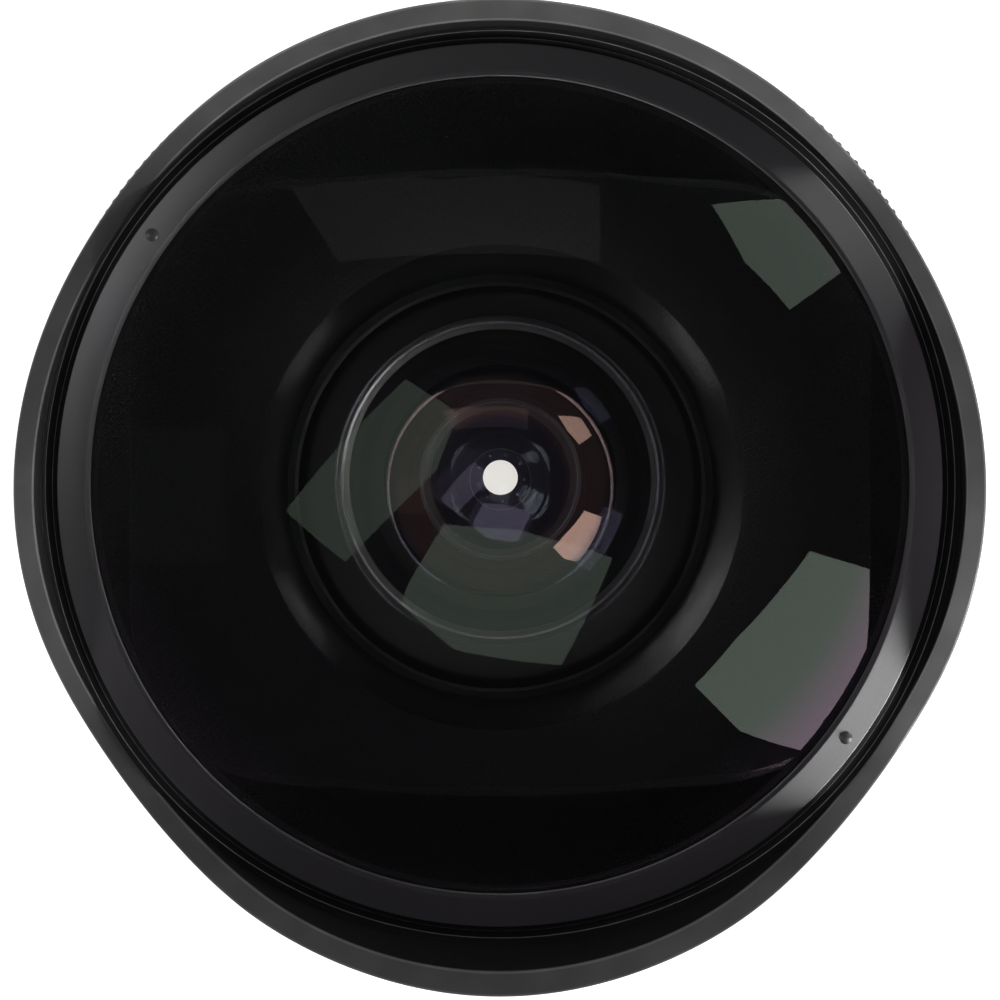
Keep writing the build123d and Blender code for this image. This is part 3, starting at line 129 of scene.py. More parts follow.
def bump(tree, shader, height, depth_mm):
    node = add_node(tree, "Bump", {"Strength": 1.0, "Distance": depth_mm * MM}, {"Height": height})
    tree.links.new(node.outputs["Normal"], shader.inputs["Normal"])


def turning_marks(tree, pitch_mm):
    """Height of fine circular tool marks about the axis: rings in radius and in height."""
    place_on_object = add_node(tree, "TexCoord").outputs["Object"]
    split = add_node(tree, "SeparateXYZ", links={"Vector": place_on_object}).outputs
    flat = add_node(tree, "CombineXYZ", links={"X": split["X"], "Y": split["Y"]})
    radius = add_node(tree, "VectorMath", links={0: flat.outputs["Vector"]}, operation="LENGTH")
    both = add_node(tree, "CombineXYZ", links={"X": radius.outputs["Value"], "Z": split["Z"]})
    values = {"Scale": PER_MM / pitch_mm, "Detail": 2.0}
    return add_node(tree, "TexNoise", values, {"Vector": both.outputs["Vector"]}).outputs[0]


def lathe_direction(tree, shader, amount):
    """Gloss stretched across the circular tool marks."""
    tangent = add_node(tree, "Tangent", direction_type="RADIAL", axis="Z")
    shader.inputs["Anisotropic"].default_value = amount
    shader.inputs["Anisotropic Rotation"].default_value = 0.25
    tree.links.new(tangent.outputs["Tangent"], shader.inputs["Tangent"])


def anodised(name, level, rough, grain_mm, depth_mm, turned=0.0, tint=(1, 1, 1.03), ior=1.52):
    """Black anodised aluminium: fine blasted grain, faint tool marks, uneven dye."""
    material, tree, shader = node_material(name, Metallic=0.0, IOR=ior)
    dye = object_noise(tree, 0.25, 4.0)
    uneven_colour(tree, shader, dye, grey(level * 0.85, tint), grey(level * 1.2, tint))
    grain = object_noise(tree, 1 / grain_mm, 2.0)
    uneven_gloss(tree, shader, grain, rough - 0.06, rough + 0.07)
    links = {0: turning_marks(tree, 0.09), 2: grain}
    height = add_node(tree, "Math", {1: 0.35}, links, operation="MULTIPLY_ADD")
    bump(tree, shader, height.outputs["Value"], depth_mm)
    if turned:
        lathe_direction(tree, shader, turned)
    return material


def bright_metal(name, colour, rough, marks_mm, depth_mm, turned=0.0):
    """Bare or plated metal with fine tool marks and a little handling haze."""
    material, tree, shader = node_material(name, Base_Color=(*colour, 1), Metallic=1.0)
    haze = object_noise(tree, 0.4, 5.0)
    uneven_gloss(tree, shader, haze, rough - 0.02, rough + 0.04)
    bump(tree, shader, turning_marks(tree, marks_mm), depth_mm)
    if turned:
        lathe_direction(tree, shader, turned)
    return material


def moulded(name, level, rough, grain_mm, depth_mm, ior=1.5, tint=(1, 1, 1)):
    """Moulded plastic or rubber with a fine surface grain and dusty tone changes."""
    material, tree, shader = node_material(name, IOR=ior)
    dust = object_noise(tree, 0.35, 4.0)
    uneven_colour(tree, shader, dust, grey(level * 0.8, tint), grey(level * 1.3, tint))
    grain = object_noise(tree, 1 / grain_mm, 3.0)
    uneven_gloss(tree, shader, grain, rough - 0.08, rough + 0.08)
    bump(tree, shader, grain, depth_mm)
    return material


def painted(name, colour, rough=0.45):
    """Filled engraving paint."""
    material, tree, shader = node_material(name)
    cloud = object_noise(tree, 3.0, 3.0)
    dull = [0.82 * channel for channel in colour]
    uneven_colour(tree, shader, cloud, (*dull, 1), (*colour, 1))
    uneven_gloss(tree, shader, cloud, rough - 0.08, rough + 0.08)
    return material


def coated(name, ior, coat, slant=()):
    """Polished glass face; coat is the colour and share of the plain reflection that its coating leaves.
    slant lists (how far the face turns away, colour) where the coating changes over to other colours."""
    values = {"Base_Color": (1, 1, 1, 1), "Roughness": 0.0, "Transmission_Weight": 1.0}
    material, tree, shader = node_material(name, IOR=ior, Specular_Tint=(*coat, 1), **values)
    if slant:
        facing = add_node(tree, "LayerWeight").outputs["Facing"]
        ramp = add_node(tree, "ValToRGB", links={"Fac": facing})
        first, last = ramp.color_ramp.elements
        first.position, first.color = slant[0][0], (*coat, 1)
        last.position, last.color = slant[-1][0], (*slant[-1][1], 1)
        for position, colour in slant[1:-1]:
            ramp.color_ramp.elements.new(position).color = (*colour, 1)
        tree.links.new(ramp.outputs["Color"], shader.inputs["Specular Tint"])
    return material


slot_materials = {
    "barrel_metal": anodised("barrel_satin", 0.016, rough=0.46, grain_mm=0.14, depth_mm=0.005, turned=0.4, ior=1.4),
    "hood_metal": anodised("hood_satin", 0.013, rough=0.46, grain_mm=0.13, depth_mm=0.006, turned=0.5, ior=1.42),
    "ring_metal": anodised("ring_satin", 0.016, rough=0.46, grain_mm=0.12, depth_mm=0.005, turned=0.4, ior=1.42),
    "inner_metal": anodised("inner_matt", 0.012, rough=0.55, grain_mm=0.16, depth_mm=0.006, turned=0.4),
    "cam_metal": bright_metal("cam_aluminium", (0.62, 0.62, 0.63), 0.32, marks_mm=0.12, depth_mm=0.001, turned=0.4),
    "mount_chrome": bright_metal(
        "mount_chrome_turned", (0.62, 0.60, 0.56), 0.24, marks_mm=0.1, depth_mm=0.0012, turned=0.7
    ),
    "screw_steel": bright_metal("screw_steel_turned", (0.55, 0.54, 0.52), 0.28, marks_mm=0.05, depth_mm=0.001),
    "blade_steel": bright_metal("blade_blackened_steel", (0.05, 0.05, 0.055), 0.42, marks_mm=0.08, depth_mm=0.0006),
    "spring_steel": bright_metal("spring_steel_bright", (0.45, 0.43, 0.40), 0.3, marks_mm=0.07, depth_mm=0.0008),
    "roller_brass": bright_metal("roller_brass_turned", (0.60, 0.42, 0.18), 0.28, marks_mm=0.06, depth_mm=0.0008),
    "black_screw": moulded("screw_blackened", 0.02, rough=0.35, grain_mm=0.06, depth_mm=0.002, ior=1.6),
    "baffle_plastic": moulded("baffle_matt", 0.006, rough=0.6, grain_mm=0.12, depth_mm=0.006),
    "grip_rubber": moulded(
        "grip_rubber_matt", 0.022, rough=0.58, grain_mm=0.09, depth_mm=0.008, ior=1.4, tint=(1, 1, 1.02)
    ),
    "seal_rubber": moulded("seal_rubber_dark", 0.012, rough=0.5, grain_mm=0.1, depth_mm=0.004),
    "index_red": painted("index_red_enamel", (0.55, 0.02, 0.015), rough=0.3),
}
front_metal = anodised(
    "front_ring_satin", 0.005, rough=0.57, grain_mm=0.10, depth_mm=0.006, turned=0.88, tint=(1.02, 0.98, 1.05), ior=4.6
)
# Light material for the front ring's inner bevel: a painted highlight for the glint of the lit bevel.
ring_edge = anodised("ring_edge_painted_glint", 0.22, rough=0.35, grain_mm=0.10, depth_mm=0.004)
ring_bright_edge = bright_metal("ring_edge_bare", (0.8, 0.84, 0.9), 0.22, marks_mm=0.08, depth_mm=0.0006)
# The hood's rim face is a lighter copy of the hood metal: satin anodising with a painted sheen for the overhead light
# its gloss catches.
hood_rim = anodised(
    "hood_rim_satin_painted_sheen", 0.095, rough=0.45, grain_mm=0.10, depth_mm=0.006, turned=0.5, tint=(1, 0.99, 0.97), ior=1.62
)
hood_inside = anodised("hood_inside_matt", 0.006, rough=0.6, grain_mm=0.13, depth_mm=0.006, turned=0.3)
# Light material for the hood rim's broken edges: a painted highlight for their glint.
hood_edge = anodised("hood_edge_painted_glint", 0.18, rough=0.35, grain_mm=0.10, depth_mm=0.004)
plug_metal = anodised("plug_satin", 0.07, rough=0.4, grain_mm=0.08, depth_mm=0.004, tint=(1, 1, 1), ior=1.8)
# Pale material for the seal's top edges: a painted highlight for lit lines on a seal that lies in shade.
seal_edge = moulded("seal_edge_painted_highlight", 0.45, rough=0.35, grain_mm=0.1, depth_mm=0.003, ior=2.0)
rim_ink = moulded("glass_rim_ink", 0.0016, rough=0.31, grain_mm=0.1, depth_mm=0.002, ior=1.45, tint=(0.9, 1, 1.3))
white_paint = painted("scale_white", (0.85, 0.85, 0.83))
orange_paint = painted("scale_orange", (0.85, 0.36, 0.04))

node_body = {}
for body, members in frame["record"]["behaviour"]["bodies"].items():
    for member in members:
        node_body[member] = body
node_slot = {}
for node, obj in frame["nodes"].items():
    node_slot[node] = obj.material_slots[0].material.name
    for slot in obj.material_slots:
        slot.material = slot_materials.get(slot.material.name, slot.material)
for slot in frame["nodes"]["spanner_hole_plugs"].material_slots:
    slot.material = plug_metal


# Mesh building


def around(radius, angle):
    return (radius * math.cos(angle), radius * math.sin(angle))


def new_object(name, points, faces, materials, face_material=None, smooth=True, sharp=40):
    """Mesh from points in millimetres; edges that turn more than sharp degrees stay sharp."""
    mesh = bpy.data.meshes.new(name)
    mesh.from_pydata([tuple(MM * c for c in p) for p in points], [], faces)
    for material in materials:
        mesh.materials.append(material)
    if face_material is not None:
        mesh.polygons.foreach_set("material_index", face_material)
    mesh.polygons.foreach_set("use_smooth", [smooth] * len(mesh.polygons))
    if smooth:
        mesh.set_sharp_from_angle(angle=math.radians(sharp))
    mesh.validate()
    mesh.update()
    obj = bpy.data.objects.new(name, mesh)
    bpy.context.scene.collection.objects.link(obj)
    return obj


def place(obj, node, stands_for=True):
    """obj rides with the body of a CAD node, and stands for it."""
    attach(obj, node_body[node])
    if stands_for:
        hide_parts(node)
    return obj


def cut_lines(node, angle):
    """The lines in which a half plane through the axis cuts a node: each point's neighbours."""
    bm = bmesh.new()
    bm.from_mesh(frame["nodes"][node].data)
    bmesh.ops.remove_doubles(bm, verts=bm.verts, dist=1e-7)
    a = math.radians(angle)
    out = Vector((*around(1, a), 0))
    cut = bmesh.ops.bisect_plane(
        bm,
        geom=bm.verts[:] + bm.edges[:] + bm.faces[:],
        dist=1e-9,
        plane_co=(0, 0, 0),
        plane_no=(-math.sin(a), math.cos(a), 0),
    )["geom_cut"]
    links = {}
    for edge in cut:
        if not isinstance(edge, bmesh.types.BMEdge):
            continue
        ends = [(round(vert.co.dot(out) / MM, 4), round(vert.co.z / MM, 4)) for vert in edge.verts]
        if ends[0] == ends[1] or min(ends[0][0], ends[1][0]) < -0.01:
            continue
        for one, other in (ends, ends[::-1]):
            links.setdefault(one, set()).add(other)
    bm.free()
    return links


def section(node, angle):
    """The node's outline in the half plane at that angle, as chains of (radius, height) in millimetres."""
    links = cut_lines(node, angle)
    chains = []
    while links:
        open_ends = [p for p, n in links.items() if len(n) == 1]
        point = open_ends[0] if open_ends else next(iter(links))
        chain = [point]
        while links.get(point):
            following = links[point].pop()
            links[following].discard(point)
            if not links[point]:
                links.pop(point)
            chain.append(following)
            point = following
        if point in links and not links[point]:
            links.pop(point)
        chains.append(chain)
    return chains


def straightened(chain, slack=0.003):
    """The chain without points that lie on the line between their neighbours, and whether it is closed."""
    closed = chain[0] == chain[-1]
    points = chain[:-1] if closed else chain[:]
    changed = True
    while changed and len(points) > 3:
        changed = False
        kept = []
        n = len(points)
        for i, p in enumerate(points):
            if not closed and i in (0, n - 1):
                kept.append(p)
                continue
            a = kept[-1] if kept else points[i - 1]
            b = points[(i + 1) % n]
            length = math.dist(a, b)
            off = abs((b[0] - a[0]) * (p[1] - a[1]) - (b[1] - a[1]) * (p[0] - a[0])) / max(length, 1e-9)
            if off < slack and length > 0:
                changed = True
                continue
            kept.append(p)
        points = kept
    return points, closed


def eased(points, closed, edge, turn=24):
    """The outline with its corners rounded by the edge radius, and held flat beside each round."""
    result = []
    n = len(points)
    for i, p in enumerate(points):
        if not closed and i in (0, n - 1):
            result.append(p)
            continue
        a, b = points[i - 1], points[(i + 1) % n]
        u = np.array(a) - p
        v = np.array(b) - p
        lu, lv = np.linalg.norm(u), np.linalg.norm(v)
        u, v = u / lu, v / lv
        angle = math.degrees(math.acos(max(-1, min(1, float(-u @ v)))))
        if angle < turn:
            result.append(p)
            continue
        r = min(edge, 0.3 * lu, 0.3 * lv)
        hold = min(0.04, 0.15 * lu, 0.15 * lv)
        p = np.array(p)
        result.append(tuple(p + u * (r + hold)))
        for t in (0.0, 0.33, 0.67, 1.0):
            q = (1 - t) ** 2 * (p + u * r) + 2 * t * (1 - t) * p + t * t * (p + v * r)
            result.append(tuple(q))
        result.append(tuple(p + v * (r + hold)))
    return result


def revolved(name, outlines, materials, pick=None, sharp=40):
    """Turn outlines, each (points, closed), once about the axis. pick gives the material index of a span
    from its number, radius and height."""
    points, faces, index = [], [], []
    angles = [TAU * k / AROUND for k in range(AROUND)]
    for outline, closed in outlines:
        columns = []
        for r, z in outline:
            start = len(points)
            if r < ON_AXIS:
                columns.append([start] * AROUND)
                points.append((0, 0, z))
            else:
                columns.append(range(start, start + AROUND))
                points += [(*around(r, a), z) for a in angles]
        after = outline[1:] + outline[:1]
        area = sum(p[0] * q[1] - q[0] * p[1] for p, q in zip(outline, after))
        spans = len(outline) if closed else len(outline) - 1
        for i in range(spans):
            j = (i + 1) % len(outline)
            p, q = outline[i], outline[j]
            kind = pick(i, (p[0] + q[0]) / 2, (p[1] + q[1]) / 2) if pick else 0
            for k in range(AROUND):
                m = (k + 1) % AROUND
                face = list(dict.fromkeys([columns[i][k], columns[i][m], columns[j][m], columns[j][k]]))
                if len(face) < 3:
                    continue
                faces.append(face if area > 0 else face[::-1])
                index.append(kind)
    return new_object(name, points, faces, materials, index, sharp=sharp)


def turned(node, name, edge, materials=None, pick=None):
    """A CAD node that is a plain turned part, turned again finely with its edges broken."""
    outlines = []
    for chain in section(node, PLAIN_CUT):
        points, closed = straightened(chain)
        if len(points) > 2:
            outlines.append((eased(points, closed, edge), closed))
    obj = revolved(name, outlines, materials or [slot_materials[node_slot[node]]], pick)
    return place(obj, node)


def dressed(node, name, edge, turn=35):
    """A copy of a CAD node with its edges broken, for pieces that aren't plain turned shapes."""
    bm = bmesh.new()
    bm.from_mesh(frame["nodes"][node].data)
    bmesh.ops.remove_doubles(bm, verts=bm.verts, dist=2e-6)
    bmesh.ops.dissolve_limit(bm, angle_limit=math.radians(0.6), verts=bm.verts, edges=bm.edges)
    mesh = bpy.data.meshes.new(name)
    bm.to_mesh(mesh)
    bm.free()
    mesh.materials.clear()
    mesh.materials.append(slot_materials[node_slot[node]])
    obj = bpy.data.objects.new(name, mesh)
    bpy.context.scene.collection.objects.link(obj)
    bevel = obj.modifiers.new("edges", "BEVEL")
    bevel.width = edge * MM
    bevel.segments = 2
    bevel.limit_method = "ANGLE"
    bevel.angle_limit = math.radians(turn)
    bevel.use_clamp_overlap = True
    weighted = obj.modifiers.new("normals", "WEIGHTED_NORMAL")
    weighted.mode = "FACE_AREA"
    weighted.weight = 90
    weighted.keep_sharp = True
    mesh.polygons.foreach_set("use_smooth", [True] * len(mesh.polygons))
    mesh.set_sharp_from_angle(angle=math.radians(turn))
    graph = bpy.context.evaluated_depsgraph_get()
    baked = bpy.data.meshes.new_from_object(obj.evaluated_get(graph))
    obj.modifiers.clear()
    obj.data = baked
    return place(obj, node)


# Glass


def sphere_line(vertex, radius, reach, count):
    """Points from the axis out along a spherical face."""
    widest = math.asin(reach / abs(radius))
    turns = [widest * k / count for k in range(count + 1)]
    size = abs(radius)
    return [(size * math.sin(t), vertex - math.copysign(size * (1 - math.cos(t)), radius)) for t in turns]


def element(node, name, ior, front, rear, rim, front_coat, rear_coat, count=48, slants=((), ())):
    """Lens element: front and rear are (vertex height, radius, clear half width) in millimetres."""
    ahead = sphere_line(*front, count)
    behind = sphere_line(*rear, count)
    corner = []
    for p in (ahead[-1], (rim, ahead[-1][1]), (rim, behind[-1][1]), behind[-1]):
        if not corner or math.dist(corner[-1], p) > 0.01:
            corner.append(p)
    outline = ahead[:-1] + corner + behind[-2::-1]
    last = len(outline) - len(behind)
    materials = [
        coated(name + "_front_coat", ior, front_coat, slants[0]),
        coated(name + "_rear_coat", ior, rear_coat, slants[1]),
        rim_ink,
    ]

    def pick(span, r, z):
        return 0 if span < count else 1 if span >= last else 2

    return place(revolved(name, [(outline, False)], materials, pick, sharp=30), node)


GREEN = (0.64, 0.80, 0.66)
LILAC = (0.9, 0.82, 1.25)
AMBER = (3.8, 2.4, 1.9)
VIOLET = (0.30, 0.26, 0.42)
BLUE = (0.5, 0.58, 0.72)
FAINT = (0.10, 0.115, 0.12)
FRONT_SLANT = [(0.225, GREEN), (0.29, (1.25, 0.92, 1.2))]
REAR_SLANT = [(0.022, LILAC), (0.034, AMBER), (0.062, AMBER), (0.08, (0.4, 0.5, 0.8))]
CEMENT = 0.005  # mm, half the gap between the two faces of a cemented pair

element(
    "front_element",
    "front_glass",
    1.77,
    (73.2037, 50.0, 32.4),
    (69.8037, 18.48, 16.67),
    32.4,
    GREEN,
    LILAC,
    count=72,
    slants=(FRONT_SLANT, REAR_SLANT),
)
for order, ior, front, rear, rim, front_coat, rear_coat in [
    ("second", 1.62, (57.5468, 60.0, 17.2), (55.7468, 16.5, 12.6), 18.2, VIOLET, BLUE),
    ("third", 1.62, (47.0422, 28.0, 11.4), (43.4422, 40.0, 11.0), 12.3, BLUE, FAINT),
    ("fourth", 1.62, (39.2, 24.0, 7.2), (34.6 + CEMENT, -14.0, 8.2), 8.2, BLUE, FAINT),
    ("fifth", 1.80, (34.6 - CEMENT, -14.0, 8.2), (33.2, 60.0, 7.2), 8.2, FAINT, FAINT),
    ("sixth", 1.62, (22.4568, 30.0, 7.2), (17.8568 + CEMENT, -20.0, 10.0), 10.0, FAINT, FAINT),
    ("seventh", 1.72, (17.8568 - CEMENT, -20.0, 10.0), (16.3568, 60.0, 8.6), 10.0, FAINT, FAINT),
    ("eighth", 1.60, (15.4429, 34.0, 8.6), (12.0429, -34.0, 8.6), 10.0, FAINT, FAINT),
    ("ninth", 1.60, (11.584, 40.0, 8.6), (7.784 + CEMENT, -26.0, 10.0), 10.0, FAINT, FAINT),
    ("tenth", 1.75, (7.784 - CEMENT, -26.0, 10.0), (6.484, -60.0, 8.6), 10.0, FAINT, FAINT),
]:
    element(order + "_element", order + "_glass", ior, front, rear, rim, front_coat, rear_coat)


# Front of the lens


def edge_finish_and_painted_glint(node, name, edge, plain, bare_and_painted_glint, on_bare_and_painted_glint_edge):
    """Turned piece whose edges at some radii and heights take a second material: bare metal on the second and third
    rings, a painted highlight on the front ring and the seal.
    """
    turned(node, name, edge, [plain, bare_and_painted_glint], lambda span, r, z: 1 if on_bare_and_painted_glint_edge(r, z) else 0)


# The front ring's inner bevel takes a painted highlight for its glint.
edge_finish_and_painted_glint(
    "front_retaining_ring", "front_ring_turned", 0.06, front_metal, ring_edge, lambda r, z: r < 31.24 and z > 62.55
)
# The seal's top edges take a painted highlight for their lit lines.
edge_finish_and_painted_glint(
    "hood_seal_ring",
    "hood_seal_moulded",
    0.08,
    slot_materials["seal_rubber"],
    seal_edge,
    lambda r, z: z > 62.26 and (r < 34.09 or r > 34.56),
)
edge_finish_and_painted_glint(
    "second_retaining_ring",
    "second_ring_turned",
    0.05,
    front_metal,
    ring_bright_edge,
    lambda r, z: r < 17.45 and z > 56.6,
)
edge_finish_and_painted_glint(
    "third_retaining_ring", "third_ring_turned", 0.05, front_metal, ring_bright_edge, lambda r, z: r < 11.6 and z > 46.9
)
turned("front_gasket", "front_gasket_moulded", 0.05)

STAKE_CIRCLE = 4.5
STAKE_TURN = -4.8
STAKE_SIDES = 24
STAKE_PROFILE = [(0.42, 27.02), (0.42, 27.09), (0.38, 27.125), (0.26, 27.148), (0.12, 27.155)]


def build_stakes():
    """Bright peened heads of the nine stakes round the iris opening."""
    points, faces = [], []
    for stake in range(9):
        x, y = around(STAKE_CIRCLE, math.radians(STAKE_TURN + 40 * stake))
        for r, z in STAKE_PROFILE:
            ring = len(points)
            for k in range(STAKE_SIDES):
                dx, dy = around(r, TAU * k / STAKE_SIDES)
                points.append((x + dx, y + dy, z))
                if z > STAKE_PROFILE[0][1]:
                    m = (k + 1) % STAKE_SIDES
                    below = ring - STAKE_SIDES
                    faces.append([below + k, below + m, ring + m, ring + k])
        faces.append([ring + k for k in range(STAKE_SIDES)])
    obj = new_object("stake_heads_peened", points, faces, [slot_materials["screw_steel"]], sharp=60)
    place(obj, "iris_base_plate", False)


build_stakes()

# How far the petals' edge rises above (up to 1) or falls below the rim, by the share of the hood's radius
# that the place lies from the middle plane.
PETAL_RISE = [
    (0.0, 0.0),
    (0.342, -0.30),
    (0.574, -0.547),
    (0.70, -0.33),
    (0.766, -0.09),
    (0.866, 0.40),
    (0.94, 0.70),
    (1.0, 1.0),
]


def smooth_line(knots):
    """Cubic through the knots, mirrored about zero, as a function of the first value."""
    x = np.array([-a for a, b in knots[:0:-1]] + [a for a, b in knots])
    y = np.array([b for a, b in knots[:0:-1]] + [b for a, b in knots])
    n = len(x)
    h = np.diff(x)
    matrix = np.zeros((n, n))
    right = np.zeros(n)
    matrix[0, :3] = [h[1], -(h[0] + h[1]), h[0]]
    matrix[-1, -3:] = [h[-1], -(h[-2] + h[-1]), h[-2]]
    for i in range(1, n - 1):
        matrix[i, i - 1 : i + 2] = [h[i - 1], 2 * (h[i - 1] + h[i]), h[i]]
        right[i] = 6 * ((y[i + 1] - y[i]) / h[i] - (y[i] - y[i - 1]) / h[i - 1])
    m = np.linalg.solve(matrix, right)

    def value(at):
        i = int(np.clip(np.searchsorted(x, at) - 1, 0, n - 2))
        a, b = (x[i + 1] - at) / h[i], (at - x[i]) / h[i]
        bend = ((a**3 - a) * m[i] + (b**3 - b) * m[i + 1]) * h[i] ** 2 / 6
        return float(a * y[i] + b * y[i + 1] + bend)

    return value


petal_share = smooth_line(PETAL_RISE)
PETAL_HEIGHT = 9.0
HOOD_R = 36.5
MOUTH_R = 34.96
RIM_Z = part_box("petal_hood")[1].z / MM - PETAL_HEIGHT
HOOD_STEPS = 720
EDGE_BREAK = 0.16


def petal_height(radius, angle):
    """Height of the petals' cut edge at a place on the wall."""
    return RIM_Z + PETAL_HEIGHT * petal_share(radius * math.sin(angle) / HOOD_R)


def build_hood():
    """Petal hood: the turned wall of the CAD section, closed above by the swept petal edge."""
    chain = straightened(section("petal_hood", PLAIN_CUT)[0])[0]
    top = max(range(len(chain)), key=lambda i: chain[i][1] + 0.1 * chain[i][0])
    chain = chain[top:] + chain[:top]
    base = [p for p in chain if p[1] <= RIM_Z - 1.5]
    if base[0][0] < base[-1][0]:
        base = base[::-1]
    base = eased([(HOOD_R, RIM_Z)] + base + [(MOUTH_R, RIM_Z)], False, 0.12)[1:-1]
    crest_start = len(base) + 4
    rim_rows = range(crest_start, crest_start + 7)
    edge_rows = (crest_start + 1, crest_start + 5)
    b = EDGE_BREAK
    points, faces, kinds = [], [], []
    for k in range(HOOD_STEPS):
        a = TAU * k / HOOD_STEPS
        outer, inner = petal_height(HOOD_R, a), petal_height(MOUTH_R, a)
        low_outer, low_inner = base[0][1], base[-1][1]
        up_inner = [(MOUTH_R, low_inner + (inner - b - low_inner) * t) for t in (0.25, 0.5, 0.75, 0.97, 1)]
        up_outer = [(HOOD_R, low_outer + (outer - b - low_outer) * t) for t in (1, 0.97, 0.75, 0.5, 0.25)]
        slope = (outer - inner) / (HOOD_R - MOUTH_R)
        crest = [
            (MOUTH_R + 0.28 * b, inner - 0.28 * b),
            (MOUTH_R + b, inner + slope * b),
            (MOUTH_R + 1.3 * b, inner + slope * 1.3 * b),
            (HOOD_R - 1.3 * b, outer - slope * 1.3 * b),
            (HOOD_R - b, outer - slope * b),
            (HOOD_R - 0.28 * b, outer - 0.28 * b),
        ]
        column = base + up_inner + crest + up_outer
        points += [(*around(r, a), z) for r, z in column]
    rows = len(column)
    for k in range(HOOD_STEPS):
        m = (k + 1) % HOOD_STEPS
        for i in range(rows):
            j = (i + 1) % rows
            faces.append([k * rows + i, k * rows + j, m * rows + j, m * rows + i])
            within = max(column[i][0], column[j][0]) < 35.2
            kinds.append(2 if i in edge_rows else 1 if i in rim_rows else 3 if within else 0)
    # The rim face takes a lighter copy of the hood metal as painted sheen, and its broken edges take a painted
    # highlight.
    finishes_and_painted_light = [slot_materials["hood_metal"], hood_rim, hood_edge, hood_inside]
    obj = new_object("petal_hood_finished", points, faces, finishes_and_painted_light, kinds, sharp=45)
    return place(obj, "petal_hood")


build_hood()


# Barrel and rings

RIBS = 240
RIB_SHAPE = [  # share of the pitch, share of the rib's height
    (0.0, 0.0),
    (0.14, 0.0),
    (0.24, 0.55),
    (0.33, 0.95),
    (0.42, 1.0),
    (0.58, 1.0),
    (0.67, 0.95),
    (0.76, 0.55),
    (0.86, 0.0),
]
RIB_END = [(0.5, 0), (0.6, 0.6), (0.75, 0.95), (0.95, 1)]  # mm from the grip's end, share of the height


def build_grip():
    """Rubber grip with moulded ribs whose ends and crests are rounded."""
    low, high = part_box("focus_grip")
    z0, z1 = low.z / MM, high.z / MM
    seat, valley, crest = 35.3, 37.05, high.x / MM
    side = [(0, seat, 0), (0, valley - 0.3, 0), (0.08, valley - 0.08, 0), (0.3, valley, 0)]
    side += [(inset, valley, full) for inset, full in RIB_END]
    levels = [(z0 + inset, radius, full) for inset, radius, full in side]
    levels += [(z1 - inset, radius, full) for inset, radius, full in side[::-1]]
    points, faces = [], []
    for rib in range(RIBS):
        for share, lift in RIB_SHAPE:
            a = TAU * (rib + share) / RIBS
            points += [(*around(radius + (crest - valley) * lift * full, a), z) for z, radius, full in levels]
    rows = len(levels)
    count = RIBS * len(RIB_SHAPE)
    for k in range(count):
        m = (k + 1) % count
        for i in range(rows):
            j = (i + 1) % rows
            faces.append([k * rows + i, m * rows + i, m * rows + j, k * rows + j])
    obj = new_object("focus_grip_moulded", points, faces, [slot_materials["grip_rubber"]], sharp=50)
    return place(obj, "focus_grip")


build_grip()
dressed("bayonet_mount", "bayonet_plated", 0.12)
dressed("rear_barrel", "rear_barrel_anodised", 0.12)
dressed("depth_scale_ring", "depth_ring_anodised", 0.1)
dressed("aperture_ring", "aperture_ring_anodised", 0.1)
dressed("focus_ring", "focus_ring_anodised", 0.1)


# Markings

PAINT_LIFT = 0.012
BAR_SIDES = 16


def bar_outline(width, length):
    """Bar with rounded ends."""
    half = max(length / 2 - width / 2, 0)
    turns = [TAU * k / BAR_SIDES for k in range(BAR_SIDES)]
    return [
        (width / 2 * math.cos(a), (half if math.sin(a) > 0 else -half) + width / 2 * math.sin(a)) for a in turns
    ]


def number_outline(text, size):
    """Filled digits, a little narrowed: points and faces."""
    curve = bpy.data.curves.new("text", "FONT")
    curve.body = text
    curve.size = size
    curve.align_x = "CENTER"
    curve.align_y = "CENTER"
    curve.resolution_u = 5
    holder = bpy.data.objects.new("text", curve)
    bpy.context.scene.collection.objects.link(holder)
    graph = bpy.context.evaluated_depsgraph_get()
    mesh = bpy.data.meshes.new_from_object(holder.evaluated_get(graph))
    bpy.data.objects.remove(holder)
    return [(0.82 * v.co.x, v.co.y) for v in mesh.vertices], [list(f.vertices) for f in mesh.polygons]


def marks(name, node, material, items, radius):
    """Paint on a ring: items are (text or None, angle, height, size or (width, length)) in degrees and
    millimetres, radius gives the surface's radius at a height."""
    points, faces = [], []
    for text, angle, height, size in items:
        if text is None:
            flat, polygons = bar_outline(*size), [list(range(BAR_SIDES))]
        else:
            flat, polygons = number_outline(text, size)
        first = len(points)
        for x, y in flat:
            z = height + y
            r = radius(z) + PAINT_LIFT
            points.append((*around(r, math.radians(angle) + x / r), z))
        faces += [[first + i for i in polygon] for polygon in polygons]
    obj = new_object(name, points, faces, [material], smooth=False)
    return place(obj, node, False)


def focus_radius(z):
    return FOCUS_R


def cone_radius(z):
    return CONE_R + (z - CONE_FOOT) * CONE_SLOPE


def aperture_radius(z):
    return APERTURE_R


